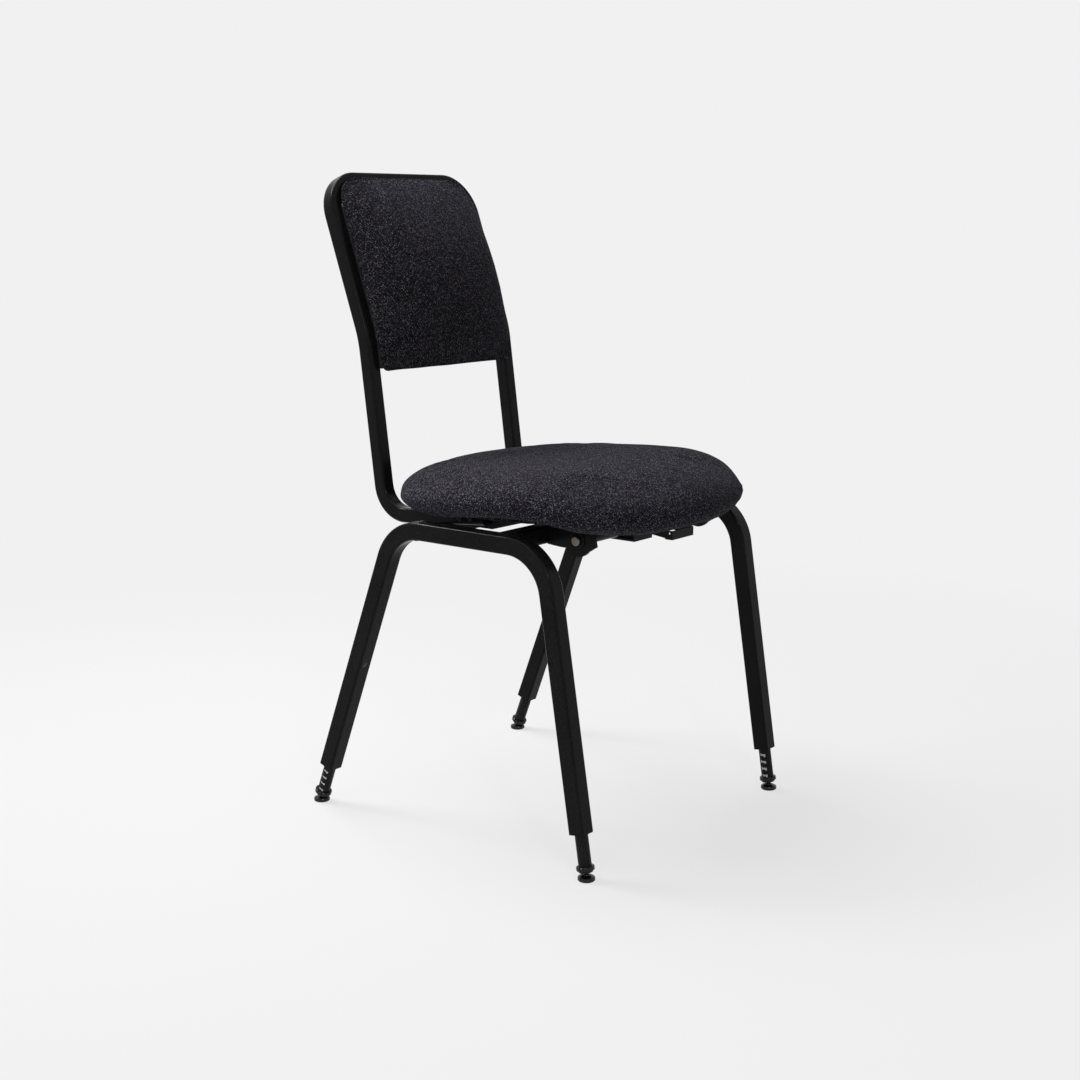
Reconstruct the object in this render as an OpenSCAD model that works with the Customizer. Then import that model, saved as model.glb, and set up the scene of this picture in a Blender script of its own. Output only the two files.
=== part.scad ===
// Choir chair: two bent tube side frames, a tipping padded seat and back, and four feet
// that pull out in steps. Front faces -Y, the floor is at zero, all lengths in millimetres.

/* [Side frames] */
// Distance between the middle planes of the two side frames
frame_width = 412; // [404:1:424]
// Height of the top of the rails above the floor
rail_top = 399; // [385:1:410]
// Width across the square tube of the side frames
frame_tube = 22; // [21:0.5:23]
// Wall of the side frame tube
frame_wall = 1.5; // [1:0.25:2]
// Outer corner radius of the side frame tube
frame_corner = 3; // [2.5:0.5:4]
// Distance between the centres of the front and rear bends
bend_spacing = 141; // [130:1:150]
// Radius of the bends on the tube's middle line
bend_radius = 61; // [54:1:66]
// Lean of the front legs
front_lean = 9.1; // [7:0.1:11]
// Lean of the rear legs
rear_lean = 20.9; // [18:0.1:21]
// Open end of a leg above the floor, measured along the leg
leg_end = 57; // [56.5:0.5:62]
// Guide button above the floor, measured along a front leg
front_button_at = 172.5; // [168:0.5:178]
// Guide button above the floor, measured along a rear leg
rear_button_at = 218.6; // [212:0.1:224]
// Diameter of a guide button
button_d = 8.8; // [8:0.1:9.4]

/* [Crossbars] */
// Middle of the front crossbar ahead of the middle of the rails
front_bar_ahead = 55; // [52:1:56]
// Height of the rear crossbar
rear_bar_height = 12; // [8:1:13]
// Depth of the rear crossbar from front to back
rear_bar_depth = 14; // [10:1:16]
// Outer corner radius of the rear crossbar
rear_bar_corner = 2.25; // [2:0.25:3]
// Middle of the rear crossbar behind the middle of the rails
rear_bar_behind = 95; // [94:1:105]
// Top of the rear crossbar below the top of the rails
rear_bar_drop = 16; // [16:1:18]
// Depth of a stop buffer on the rear crossbar
buffer_depth = 8.4; // [7:0.2:9]

/* [Tilt pivot] */
// Pivot ahead of the middle of the rails
pivot_ahead = 111.5; // [108:0.5:114]
// Pivot below the top of the rails
pivot_drop = 12.6; // [12:0.2:13]
// Diameter of the pivot rod
pivot_rod_d = 8; // [6:0.5:9]
// Radius of the round lobe of a pivot plate
lobe_r = 20; // [16:0.5:21]
// Reach of the front tooth of a pivot plate ahead of the pivot
tooth_reach = 27.2; // [25:0.2:29]
// Thickness of a pivot plate
pivot_plate_t = 4; // [3:0.5:5]
// Gap between a seat side plate and a pivot plate
plate_gap = 2.5; // [1.5:0.5:4]
// Diameter of the bright end cap of the rod
cap_d = 11.7; // [10:0.1:13]
// Length of the bright end cap
cap_length = 4; // [3:0.5:6]
// Diameter of the dark washer behind a cap
washer_d = 22; // [18:1:26]
// Thickness of the washer behind a cap
washer_t = 1.5; // [1:0.5:2]
// Diameter of the tube round the rod
pivot_tube_d = 14; // [12:0.5:14]

/* [Latch plate] */
// Width of the latch plate
latch_width = 38.2; // [34:0.2:42]
// Outer edge of the latch plate from the middle of the chair
latch_side = 46; // [43:1:50]
// Front edge of the latch plate ahead of the pivot
latch_ahead = 22.4; // [20:0.4:24]
// Thickness of the latch plate
latch_t = 2.5; // [2:0.5:3]
// Height of the lip along the front edge
latch_lip = 11; // [9:0.5:12]

/* [Seat side plates] */
// Thickness of a seat side plate
seat_plate_t = 3; // [2:0.5:4]
// Width of the flange under the board
flange_width = 18; // [14:1:24]
// Depth of the rear lobe below the board
rear_lobe_depth = 28; // [27:0.5:28.5]
// Slope of the lower edge ahead of the rear lobe
lobe_slope = 15.6; // [14:0.1:17]
// Diameter of the three setting holes
setting_hole_d = 5.5; // [4:0.5:5.5]
// First setting hole behind the middle of the rails
setting_hole_y = 38; // [37:0.5:40]
// Spacing of the setting holes
setting_hole_pitch = 17; // [15:0.5:17]
// Setting holes above the lower edge of the lobe
setting_hole_up = 7.15; // [6.5:0.05:7.5]

/* [Back frame] */
// Width across the square tube of the back frame
back_tube = 19; // [18:0.5:19.5]
// Wall of the back frame tube
back_wall = 1.5; // [1:0.25:2]
// Outer corner radius of the back frame tube
back_corner = 3.5; // [2.5:0.5:4]
// Distance between the middle lines of the uprights
back_width = 268; // [264:1:274]
// Height of the top of the back frame
back_top = 822.5; // [790:0.5:850]
// Rise of the arms towards the front
arm_rise = 5; // [4:0.5:5.5]
// Lean of the lower part of the uprights
lower_back_lean = 7.6; // [6:0.1:9]
// Lean of the upper part of the uprights
upper_back_lean = 19.5; // [17:0.1:21]
// Height of the kink in the uprights
kink_height = 611.7; // [600:0.1:625]
// Kink behind the middle of the rails
kink_behind = 228.2; // [226:0.1:231]
// Front end of the arms behind the middle of the rails
arm_front = 27; // [24:0.5:30]
// Bend radius between arm and upright
arm_bend_radius = 40; // [36:1:42]
// Bend radius at the kink
kink_bend_radius = 150; // [120:5:180]
// Bend radius of the top corners
top_bend_radius = 47; // [40:1:55]

/* [Back tabs] */
// Width of a tab from the upright towards the middle
tab_width = 14; // [12:1:16]
// Height of a tab
tab_height = 14; // [12:1:16]
// Thickness of a tab
tab_t = 1.2; // [1:0.1:1.4]
// Middle of the lower tabs above the bottom edge of the back pad
low_tab_up = 16; // [14:0.5:18]
// Middle of the upper tabs above the kink
high_tab_up = 120; // [100:5:140]

/* [Seat] */
// Half the width of the seat pad
seat_half_width = 224.6; // [220:0.1:228]
// Half the depth of the seat pad
seat_half_depth = 189.8; // [187:0.1:190.5]
// Middle of the seat pad ahead of the middle of the rails
seat_ahead = 7.2; // [7:0.1:9]
// Middle height of the seat pad above the underside of its board
seat_rise = 20.1; // [19.5:0.1:23]
// Crown of the pad above its middle height
seat_crown = 34.5; // [30:0.5:40]
// Depth of the pad below its middle height
seat_belly = 34.3; // [32:0.1:34.5]
// How far the front edge rolls down
front_droop = 45; // [35:1:46]
// How far the rear edge lifts
rear_lift = 8.4; // [6:0.1:12]
// Slope of the seat towards the back
seat_slope = 1.81; // [1:0.01:2]
// Thickness of the seat board
board_t = 12; // [9:1:12]
// Underside of the board above the top of the rails
board_rise = 12; // [12:0.5:13]

/* [Back pad] */
// Half the width of the back pad
back_half_width = 131.4; // [129:0.2:135]
// Bottom edge of the back pad above the floor
back_pad_bottom = 567.4; // [560:0.2:572]
// Top edge of the back pad below the top of the frame, along the upright
back_pad_drop = 12.1; // [10:0.1:20]
// Thickness of the back pad in the middle
back_pad_depth = 47.3; // [36:0.1:50]
// Thickness of the back pad along its edge
back_pad_edge = 1.6; // [1.4:0.1:3]
// Radius of the upper corners of the back pad
back_pad_top_corner = 47.4; // [42:0.2:54]
// Radius of the lower corners of the back pad
back_pad_low_corner = 11.7; // [10.5:0.1:14]
// Thickness of the panel behind the back pad
back_board_t = 4; // [3:0.5:5]

/* [Release lever] */
// Width of the paddle
paddle_width = 46; // [40:1:50]
// Height of the paddle
paddle_height = 11; // [8:0.5:11]
// Paddle ahead of the pivot
paddle_ahead = 63; // [60:0.5:66]
// Lower edge of the paddle below the pivot
paddle_drop = 8.4; // [7:0.1:9]
// Thickness of the pressed parts
press_t = 2; // [1.5:0.5:2.5]
// Diameter of the lever pin
lever_pin_d = 5; // [4:0.5:5]
// Lever pin behind the paddle
lever_pin_behind = 24.4; // [23:0.2:26]
// Lever pin above the pivot
lever_pin_up = 3.6; // [3.2:0.1:4]
// Radius of the eye round the lever pin
pin_eye_r = 5.8; // [5:0.1:6]
// Diameter of the heads of the lever pin
lever_pin_head_d = 8; // [7:0.5:9]
// Thickness of the heads of the lever pin
lever_pin_head_t = 1.5; // [1:0.25:2]
// Depth of the bracket from front to back
bracket_depth = 18; // [16:1:20]
// Diameter of the small hole in a cheek of the lever
cheek_hole_d = 3; // [2:0.25:3.5]

/* [Feet] */
// Outer diameter of a foot tube
foot_tube_d = 16; // [15:0.5:16.5]
// Wall of a foot tube
foot_tube_wall = 1.5; // [1.25:0.25:1.75]
// Top of a foot tube above the floor, measured along the leg
foot_length = 150; // [140:1:152]
// Number of slots up a foot tube
slot_count = 10; // [10:1:11]
// Step between two slots
slot_pitch = 9.5; // [9.3:0.1:9.5]
// Height of a slot
slot_width = 3; // [2.9:0.1:3.2]
// Middle of the first slot above the collar
first_slot_up = 2.2; // [2.1:0.1:2.4]
// Drop at the end of a slot that holds the peg
hook_depth = 1.2; // [1:0.1:1.4]
// Turn of the foot from the upright channel to the pockets
slot_turn = 68; // [50:1:75]
// Diameter of the peg that runs in the slots
peg_d = 2.4; // [2:0.1:2.4]
// Diameter of the collar of a foot
collar_d = 22; // [20:0.5:23]
// Top of the collar above the floor, measured along the leg
collar_top = 18; // [17.5:0.5:18.5]
// Height of the collar ring
collar_height = 5.5; // [5:0.5:6]
// Number of notches round a collar
notch_count = 12; // [8:1:16]
// Diameter of the waist under the collar
waist_d = 17; // [15:0.5:18]
// Diameter of the neck above the ball
neck_d = 4.8; // [4.2:0.2:5.2]
// Diameter of the foot's base
base_d = 21; // [19:0.5:23]
// Height of the foot's base
base_height = 7; // [6.8:0.1:7.2]
// Diameter of the ball in the base
ball_d = 8; // [7.5:0.5:8]

/* [Fasteners] */
// Diameter of an arm bolt
bolt_d = 5; // [4:0.5:5.5]
// Diameter of the head and nut of an arm bolt
bolt_head_d = 9; // [8:0.5:10]
// Thickness of the head and nut of an arm bolt
bolt_head_t = 2.5; // [2:0.25:3]
// Diameter of a wood screw
screw_d = 4.5; // [4:0.25:5]
// Diameter of the head of a wood screw
screw_head_d = 8; // [7:0.5:9]
// Thickness of the head of a wood screw
screw_head_t = 2; // [1.5:0.25:2.5]
// Middle screws of the side plates ahead of the middle of the rails
middle_screw_ahead = 24.7; // [15:0.1:35]

/* [Colours] */
// Tube and plates
black_colour = "#17171a"; // [#17171a, #3a3d42, #6b1f22]
// Tweed of the pads
tweed_colour = "#2b2b36"; // [#2b2b36, #41372f, #2c3f33]
// Rubber and plastic of the feet
rubber_colour = "#101012"; // [#101012, #5a5a5a]
// Liners that show in the slots
liner_colour = "#ececea"; // [#ececea, #c8c8c0]
// Bare steel ends and screws
steel_colour = "#b9bcc0"; // [#b9bcc0, #8f8f8f]
// Seat board and back panel
board_colour = "#c8a877"; // [#c8a877, #8a6a45]

/* [Hidden] */

$fn = 64;
right = -1;
left = 1;
turn_clearance = 0.08;
cut_margin = 1;
// straight lengths are a hair slimmer than the bends and run a little way into them
seam = 0.4;
hair = 0.02;

// side frame layout, middle of the rails at y = 0
rail_z = rail_top - frame_tube / 2;
bend_z = rail_z - bend_radius;
bend_y = bend_spacing / 2;
side_x = frame_width / 2;
rail_inner_x = side_x - frame_tube / 2;
bore_tube = frame_tube - 2 * frame_wall;
front_top_z = bend_z + bend_radius * sin(front_lean);
rear_top_z = bend_z + bend_radius * sin(rear_lean);
front_leg = front_top_z / cos(front_lean);
rear_leg = rear_top_z / cos(rear_lean);
front_foot_y = -bend_y - bend_radius * cos(front_lean) - front_top_z * tan(front_lean);
rear_foot_y = bend_y + bend_radius * cos(rear_lean) + rear_top_z * tan(rear_lean);

// guide sleeves
button_play = 0.1;
button_sink = 0.5;
sleeve_over = button_d;

// pivot
pivot_y = -pivot_ahead;
pivot_z = rail_top - pivot_drop;
arm_inner_x = back_width / 2 - back_tube / 2;
pivot_plate_x = arm_inner_x + plate_gap;
plate_outer_x = pivot_plate_x + pivot_plate_t;
rod_half = plate_outer_x + washer_t + cap_length / 2;
bar_front_y = -front_bar_ahead - frame_tube / 2;
tooth_top_share = 0.88;
tooth_nose_share = 0.28;
tooth_heel_share = 0.5;
tooth_low_share = 0.8;
cap_edge_share = 0.25;

// board and side plates
board_z = rail_top + board_rise;
seat_plate_x = arm_inner_x - seat_plate_t;
ear_r = pivot_tube_d;
ear_run_share = 1.6;
plate_front_y = pivot_y - ear_r;
plate_rear_gap = 4;
plate_rear_y = rear_bar_behind - rear_bar_depth / 2 - plate_rear_gap;
bar_gap = 2;
web_z = rail_top + bar_gap;
lobe_front_y = setting_hole_y - 2 * setting_hole_d;
lobe_chamfer = 5;
lobe_z = board_z - rear_lobe_depth;
web_start_y = lobe_front_y - (web_z - lobe_z) / tan(lobe_slope);
setting_hole_z = lobe_z + setting_hole_up;
bolt_front_y = setting_hole_y + setting_hole_pitch / 2;
bolt_rear_y = bolt_front_y + setting_hole_pitch;

// back frame: the arm line, the lower upright and the upper upright
kink_y = kink_behind;
kink_z = kink_height;
arm_gap = 1.6;
// the arm line passes this point at its front end
arm_end_y = arm_front;
arm_end_z = board_z - back_tube / 2 / cos(arm_rise) - arm_gap;
// crossing of the arm line and the lower upright line
cross_t = tan(lower_back_lean);
cross_a = tan(arm_rise);
cross_y = (kink_y + cross_t * (arm_end_z + cross_a * arm_end_y - kink_z)) / (1 + cross_t * cross_a);
cross_z = arm_end_z - cross_a * (cross_y - arm_end_y);
arm_turn = 90 - lower_back_lean + arm_rise;
arm_tangent = arm_bend_radius * tan(arm_turn / 2);
arm_length = (cross_y - arm_end_y) / cos(arm_rise) - arm_tangent;
arm_bend_y = cross_y - arm_tangent * cos(arm_rise) + arm_bend_radius * sin(arm_rise);
arm_bend_z = cross_z + arm_tangent * sin(arm_rise) + arm_bend_radius * cos(arm_rise);
kink_turn = upper_back_lean - lower_back_lean;
kink_tangent = kink_bend_radius * tan(kink_turn / 2);
lower_span = (kink_z - cross_z) / cos(lower_back_lean);
lower_length = lower_span - arm_tangent - kink_tangent;
lower_start_y = cross_y + arm_tangent * sin(lower_back_lean);
lower_start_z = cross_z + arm_tangent * cos(lower_back_lean);
kink_start_y = kink_y - kink_tangent * sin(lower_back_lean);
kink_start_z = kink_z - kink_tangent * cos(lower_back_lean);
kink_bend_y = kink_start_y + kink_bend_radius * cos(lower_back_lean);
kink_bend_z = kink_start_z - kink_bend_radius * sin(lower_back_lean);
kink_end_y = kink_y + kink_tangent * sin(upper_back_lean);
kink_end_z = kink_z + kink_tangent * cos(upper_back_lean);
flat_half = back_tube / 2 - back_corner;
top_reach = flat_half * (sin(upper_back_lean) + cos(upper_back_lean)) + back_corner;
top_bar_z = back_top - top_reach;
upper_span = (top_bar_z - kink_end_z) / cos(upper_back_lean);
upper_length = upper_span - top_bend_radius;
top_bar_y = kink_end_y + upper_span * sin(upper_back_lean);
upright_x = back_width / 2;
top_bar_half = upright_x - top_bend_radius;

ball_up_share = 0.8;
ball_z = base_height * ball_up_share;

// the overall middle, so that the origin sits under the middle of the box
pad_front_y = -seat_ahead - seat_half_depth;
rear_most_y = top_bar_y + top_reach;
front_base_y = front_foot_y + ball_z * tan(front_lean) - base_d / 2;
rear_base_y = rear_foot_y - ball_z * tan(rear_lean) + base_d / 2;
mid_y = (min(pad_front_y, front_base_y) + max(rear_most_y, rear_base_y)) / 2;

// feet, measured along the leg from the floor
first_slot = collar_top + first_slot_up;
slot_at_rest = 5;
peg_at = first_slot + slot_at_rest * slot_pitch;
foot_r = foot_tube_d / 2;
foot_bore_r = foot_r - foot_tube_wall;
liner_r = foot_bore_r - foot_tube_wall;
sleeve_r = foot_r + turn_clearance;
peg_gap = 0.3;
peg_tip_r = foot_bore_r + peg_gap;
peg_root_r = foot_r + foot_tube_wall;
collar_base = collar_top - collar_height;
waist_share = 0.36;
waist_base = collar_base - collar_height * waist_share;
waist_r = waist_d / 2;
neck_r = neck_d / 2;
collar_edge_share = 0.15;
rim_share = 0.7;
base_edge_share = 0.16;
crown_share = 0.52;
channel_turn = 45;
slot_edge = asin(slot_width / foot_tube_d);
hook_turn = slot_edge * 2;
ramp_share = 0.45;
ramp_turn = slot_turn * ramp_share;

// pads
seat_height = board_z + seat_rise;
ring_points = 56;
over_shares = [0.3, 0.55, 0.72, 0.83, 0.905, 0.955, 0.985, 1];
under_shares = [0.985, 0.955, 0.91, 0.86];
lip_share = 0.86;
droop_start_share = 0.2;
taper_share = 0.05;
front_power = 0.86;
rear_power = 0.72;
edge_power = 5;
board_play_share = 0.002;

// screws
screw_in_share = 0.6;
screw_x = arm_inner_x - flange_width * screw_in_share;
screw_rows = [pivot_y, -middle_screw_ahead, bolt_front_y];
bite_share = 0.8;
screw_depth = board_t * bite_share;

// back pad, measured up the uprights from the kink
face_gap = back_tube / 2;
pad_low_s = -(kink_z - back_pad_bottom) / cos(lower_back_lean);
pad_high_s = (back_top - kink_z) / cos(upper_back_lean) - back_pad_drop;
pad_peak_share = 0.48;
pad_peak_s = pad_low_s + (pad_high_s - pad_low_s) * pad_peak_share;
blend_s = kink_tangent;
pad_play = 0.05;
pad_cross_power = 2.94;
pad_cross_round = 0.7;
pad_columns = 17;
pad_column_turn = 180 / (pad_columns - 1);
low_corner_shares = [0, 0.06, 0.25, 0.6];
lower_shares = [0.1, 0.5];
upper_shares = [0.16, 0.32, 0.48, 0.64, 0.82];
top_corner_shares = [1, 0.72, 0.48, 0.28, 0.13, 0.04, 0];
pad_rows = concat(
    [for (k = low_corner_shares) pad_low_s + k * back_pad_low_corner],
    [for (k = lower_shares) mix(pad_low_s + back_pad_low_corner, -blend_s, k)],
    [-blend_s, 0, blend_s],
    [for (k = upper_shares) mix(blend_s, pad_high_s - back_pad_top_corner, k)],
    [for (k = top_corner_shares) pad_high_s - k * back_pad_top_corner]);

// back tabs, measured along the straight parts of the uprights
tab_x = arm_inner_x - tab_width / 2;
low_tab_at = lower_length + kink_tangent + pad_low_s + low_tab_up;
high_tab_at = high_tab_up - kink_tangent;

// release lever
paddle_y = pivot_y - paddle_ahead;
paddle_z = pivot_z - paddle_drop;
lever_pin_y = paddle_y + lever_pin_behind;
lever_pin_z = pivot_z + lever_pin_up;
bracket_y = lever_pin_y;
bracket_half = paddle_width / 2 - press_t - turn_clearance;
bracket_screws = [-bracket_half / 2, bracket_half / 2];
cheek_top_share = 0.6;
cheek_low_share = 0.35;
cheek_hole_in_share = 0.45;
cheek_hole_up_share = 0.7;

module place() {
    translate([0, -mid_y, 0]) children();
}

// a leg's own frame: origin on the floor, +Z up the leg
module leg_front(side) {
    translate([side * side_x, front_foot_y, 0]) rotate([-front_lean, 0, 0]) children();
}

module leg_rear(side) {
    translate([side * side_x, rear_foot_y, 0]) rotate([rear_lean, 0, 0]) children();
}

// a flat outline drawn in Y and Z, given thickness along X from x
module yz_plate(x, thickness) {
    translate([x, 0, 0]) rotate([90, 0, 90]) linear_extrude(thickness) children();
}

module round_square(size, corner) {
    inner = size - 2 * corner;
    square([size, inner], center = true);
    square([inner, size], center = true);
    for (x = [-inner / 2, inner / 2], y = [-inner / 2, inner / 2]) {
        translate([x, y]) circle(corner, $fn = 32);
    }
}

module slim_square(size, corner) {
    round_square(size - 2 * hair, corner - hair);
}

module side_solid(side, size, corner, extra) {
    x = side * side_x;
    translate([x, -bend_y - seam, rail_z]) rotate([-90, 0, 0])
        linear_extrude(bend_spacing + 2 * seam) slim_square(size, corner);
    translate([x, -bend_y, bend_z]) rotate([90, 0, 90]) rotate([0, 0, 90])
        rotate_extrude(angle = 90 - front_lean, $fn = 96) translate([bend_radius, 0])
        round_square(size, corner);
    translate([x, bend_y, bend_z]) rotate([90, 0, 90]) rotate([0, 0, rear_lean])
        rotate_extrude(angle = 90 - rear_lean, $fn = 96) translate([bend_radius, 0])
        round_square(size, corner);
    leg_front(side) translate([0, 0, leg_end - extra])
        linear_extrude(front_leg - leg_end + extra + seam) slim_square(size, corner);
    leg_rear(side) translate([0, 0, leg_end - extra])
        linear_extrude(rear_leg - leg_end + extra + seam) slim_square(size, corner);
}

module side_frame(side) {
    color(black_colour) difference() {
        side_solid(side, frame_tube, frame_corner, 0);
        side_solid(side, bore_tube, frame_corner - frame_wall, cut_margin);
        leg_front(side) translate([0, 0, front_button_at]) rotate([-90, 0, 0])
            cylinder(d = button_d + 2 * button_play, h = frame_tube);
        leg_rear(side) translate([0, 0, rear_button_at]) rotate([90, 0, 0])
            cylinder(d = button_d + 2 * button_play, h = frame_tube);
    }
}

module side_frame_right() {
    place() side_frame(right);
}

module side_frame_left() {
    place() side_frame(left);
}

module crossbar(length, height, depth, wall, corner) {
    rotate([0, 90, 0]) difference() {
        translate([0, 0, -length / 2]) linear_extrude(length) bar_outline(height, depth, corner);
        translate([0, 0, -length]) linear_extrude(2 * length)
            bar_outline(height - 2 * wall, depth - 2 * wall, corner - wall);
    }
}

module bar_outline(height, depth, corner) {
    square([height, depth - 2 * corner], center = true);
    square([height - 2 * corner, depth], center = true);
    for (x = [-1, 1], y = [-1, 1]) {
        translate([x * (height / 2 - corner), y * (depth / 2 - corner)]) circle(corner, $fn = 32);
    }
}

module front_crossbar() {
    place() color(black_colour) translate([0, -front_bar_ahead, rail_z])
        crossbar(2 * rail_inner_x, frame_tube, frame_tube, frame_wall, frame_corner);
}

module rear_crossbar() {
    place() color(black_colour)
        translate([0, rear_bar_behind, rail_top - rear_bar_drop - rear_bar_height / 2])
        crossbar(2 * rail_inner_x, rear_bar_height, rear_bar_depth, frame_wall, rear_bar_corner);
}

module pivot_plate(side) {
    low_z = rail_top - frame_tube;
    top_z = rail_top - cut_margin;
    x = side > 0 ? pivot_plate_x : -plate_outer_x;
    heel_y = pivot_y - lobe_r * tooth_heel_share;
    heel_z = pivot_z - lobe_r * tooth_low_share;
    color(black_colour) yz_plate(x, pivot_plate_t) difference() {
        union() {
            intersection() {
                translate([pivot_y, pivot_z]) circle(lobe_r);
                translate([pivot_y - lobe_r, pivot_z - lobe_r])
                    square([2 * lobe_r, lobe_r + top_z - pivot_z]);
            }
            polygon([[bar_front_y, low_z], [bar_front_y, top_z], [pivot_y, top_z],
                [pivot_y, low_z - frame_wall], [bar_front_y - lobe_r, low_z - frame_wall]]);
            polygon([[pivot_y, top_z], [pivot_y - tooth_reach * tooth_top_share, top_z],
                [pivot_y - tooth_reach, pivot_z - lobe_r * tooth_nose_share],
                [heel_y, heel_z], [pivot_y, heel_z]]);
        }
        translate([pivot_y, pivot_z]) circle(d = pivot_rod_d);
    }
}

module pivot_plate_right() {
    place() pivot_plate(right);
}

module pivot_plate_left() {
    place() pivot_plate(left);
}

module on_pivot(x) {
    translate([x, pivot_y, pivot_z]) rotate([0, 90, 0]) children();
}

module pivot_rod() {
    place() color(steel_colour) on_pivot(-rod_half) cylinder(d = pivot_rod_d, h = 2 * rod_half);
}

module ring(outer_d, inner_d, length) {
    difference() {
        cylinder(d = outer_d, h = length);
        translate([0, 0, -length]) cylinder(d = inner_d, h = 3 * length);
    }
}

module pivot_washers() {
    place() color(black_colour) {
        on_pivot(plate_outer_x) ring(washer_d, pivot_rod_d, washer_t);
        on_pivot(-plate_outer_x - washer_t) ring(washer_d, pivot_rod_d, washer_t);
    }
}

module pivot_cap() {
    edge = cap_length * cap_edge_share;
    difference() {
        rotate_extrude() polygon([[0, 0], [cap_d / 2, 0], [cap_d / 2, cap_length - edge],
            [cap_d / 2 - edge, cap_length], [0, cap_length]]);
        translate([0, 0, -cap_length / 2]) cylinder(d = pivot_rod_d, h = cap_length);
    }
}

module pivot_caps() {
    place() color(steel_colour) for (side = [right, left]) {
        translate([side * (plate_outer_x + washer_t), pivot_y, pivot_z])
            rotate([0, 90 * side, 0]) pivot_cap();
    }
}

module stop_buffers() {
    pad_length = back_tube;
    pad_z = rail_top - rear_bar_drop;
    front_y = rear_bar_behind - buffer_depth / 2;
    arm_low = arm_z(front_y + buffer_depth) - back_tube / 2 / cos(arm_rise);
    pad_t = arm_low - pad_z - turn_clearance;
    place() color(rubber_colour) for (side = [right, left]) {
        translate([side * upright_x - pad_length / 2, front_y, pad_z])
            cube([pad_length, buffer_depth, pad_t]);
    }
}

module latch_plate() {
    low_z = rail_top - frame_tube - latch_t;
    front_y = pivot_y - latch_ahead;
    place() color(black_colour) translate([-latch_side, front_y, low_z]) {
        cube([latch_width, -front_bar_ahead - front_y, latch_t]);
        cube([latch_width, latch_t, latch_lip]);
    }
}

// guide sleeve inside a leg: facing is 1 for the button on the rear face, -1 for the front face
module leg_sleeve(button_at, facing, turn_side) {
    top = button_at + sleeve_over;
    color(rubber_colour) {
        difference() {
            union() {
                translate([0, 0, leg_end]) linear_extrude(top - leg_end)
                    round_square(bore_tube - 4 * hair, frame_corner - frame_wall);
                translate([0, 0, button_at]) rotate([-90 * facing, 0, 0])
                    cylinder(d = button_d, h = frame_tube / 2 - button_sink);
            }
            translate([0, 0, leg_end - cut_margin])
                cylinder(r = sleeve_r, h = top - leg_end + 2 * cut_margin);
        }
        rotate([0, 0, 90 + turn_side * channel_turn]) translate([peg_tip_r, 0, peg_at])
            rotate([0, 90, 0]) cylinder(d = peg_d, h = peg_root_r - peg_tip_r + foot_tube_wall);
    }
}

module leg_sleeve_front_right() {
    place() leg_front(right) leg_sleeve(front_button_at, 1, right);
}

module leg_sleeve_front_left() {
    place() leg_front(left) leg_sleeve(front_button_at, 1, left);
}

module leg_sleeve_rear_right() {
    place() leg_rear(right) leg_sleeve(rear_button_at, -1, left);
}

module leg_sleeve_rear_left() {
    place() leg_rear(left) leg_sleeve(rear_button_at, -1, right);
}

// seat side plate, with the flange that is screwed to the board
module seat_plate(side) {
    x = side > 0 ? seat_plate_x : -arm_inner_x;
    flange_x = side > 0 ? arm_inner_x - flange_width : -arm_inner_x;
    color(black_colour) {
        yz_plate(x, seat_plate_t) difference() {
            union() {
                polygon([[plate_rear_y, board_z], [plate_rear_y, lobe_z + lobe_chamfer],
                    [plate_rear_y - lobe_chamfer, lobe_z], [lobe_front_y, lobe_z],
                    [web_start_y, web_z], [pivot_y + ear_r * ear_run_share, web_z],
                    [pivot_y + ear_r, pivot_z],
                    [plate_front_y, pivot_z], [plate_front_y, board_z]]);
                translate([pivot_y, pivot_z]) circle(ear_r);
            }
            translate([pivot_y, pivot_z]) circle(d = pivot_rod_d + 2 * turn_clearance);
            for (i = [0, 1, 2]) {
                translate([setting_hole_y + i * setting_hole_pitch, setting_hole_z])
                    circle(d = setting_hole_d);
            }
            for (y = [bolt_front_y, bolt_rear_y]) {
                translate([y, arm_z(y)]) circle(d = bolt_d);
            }
        }
        difference() {
            translate([flange_x, plate_front_y, board_z - seat_plate_t])
                cube([flange_width, plate_rear_y - plate_front_y, seat_plate_t]);
            for (y = screw_rows) {
                translate([side * screw_x, y, board_z - 2 * seat_plate_t])
                    cylinder(d = screw_d, h = 3 * seat_plate_t);
            }
        }
    }
}

function arm_z(y) = arm_end_z - cross_a * (y - arm_end_y);

module seat_plate_right() {
    place() seat_plate(right);
}

module seat_plate_left() {
    place() seat_plate(left);
}

module pivot_tube() {
    place() color(black_colour) on_pivot(-seat_plate_x)
        ring(pivot_tube_d, pivot_rod_d + 2 * turn_clearance, 2 * seat_plate_x);
}

module pivot_spacers() {
    gap = turn_clearance;
    place() color(rubber_colour) {
        on_pivot(arm_inner_x + gap) ring(pivot_tube_d, pivot_rod_d, plate_gap - gap);
        on_pivot(-arm_inner_x - plate_gap) ring(pivot_tube_d, pivot_rod_d, plate_gap - gap);
    }
}

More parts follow.
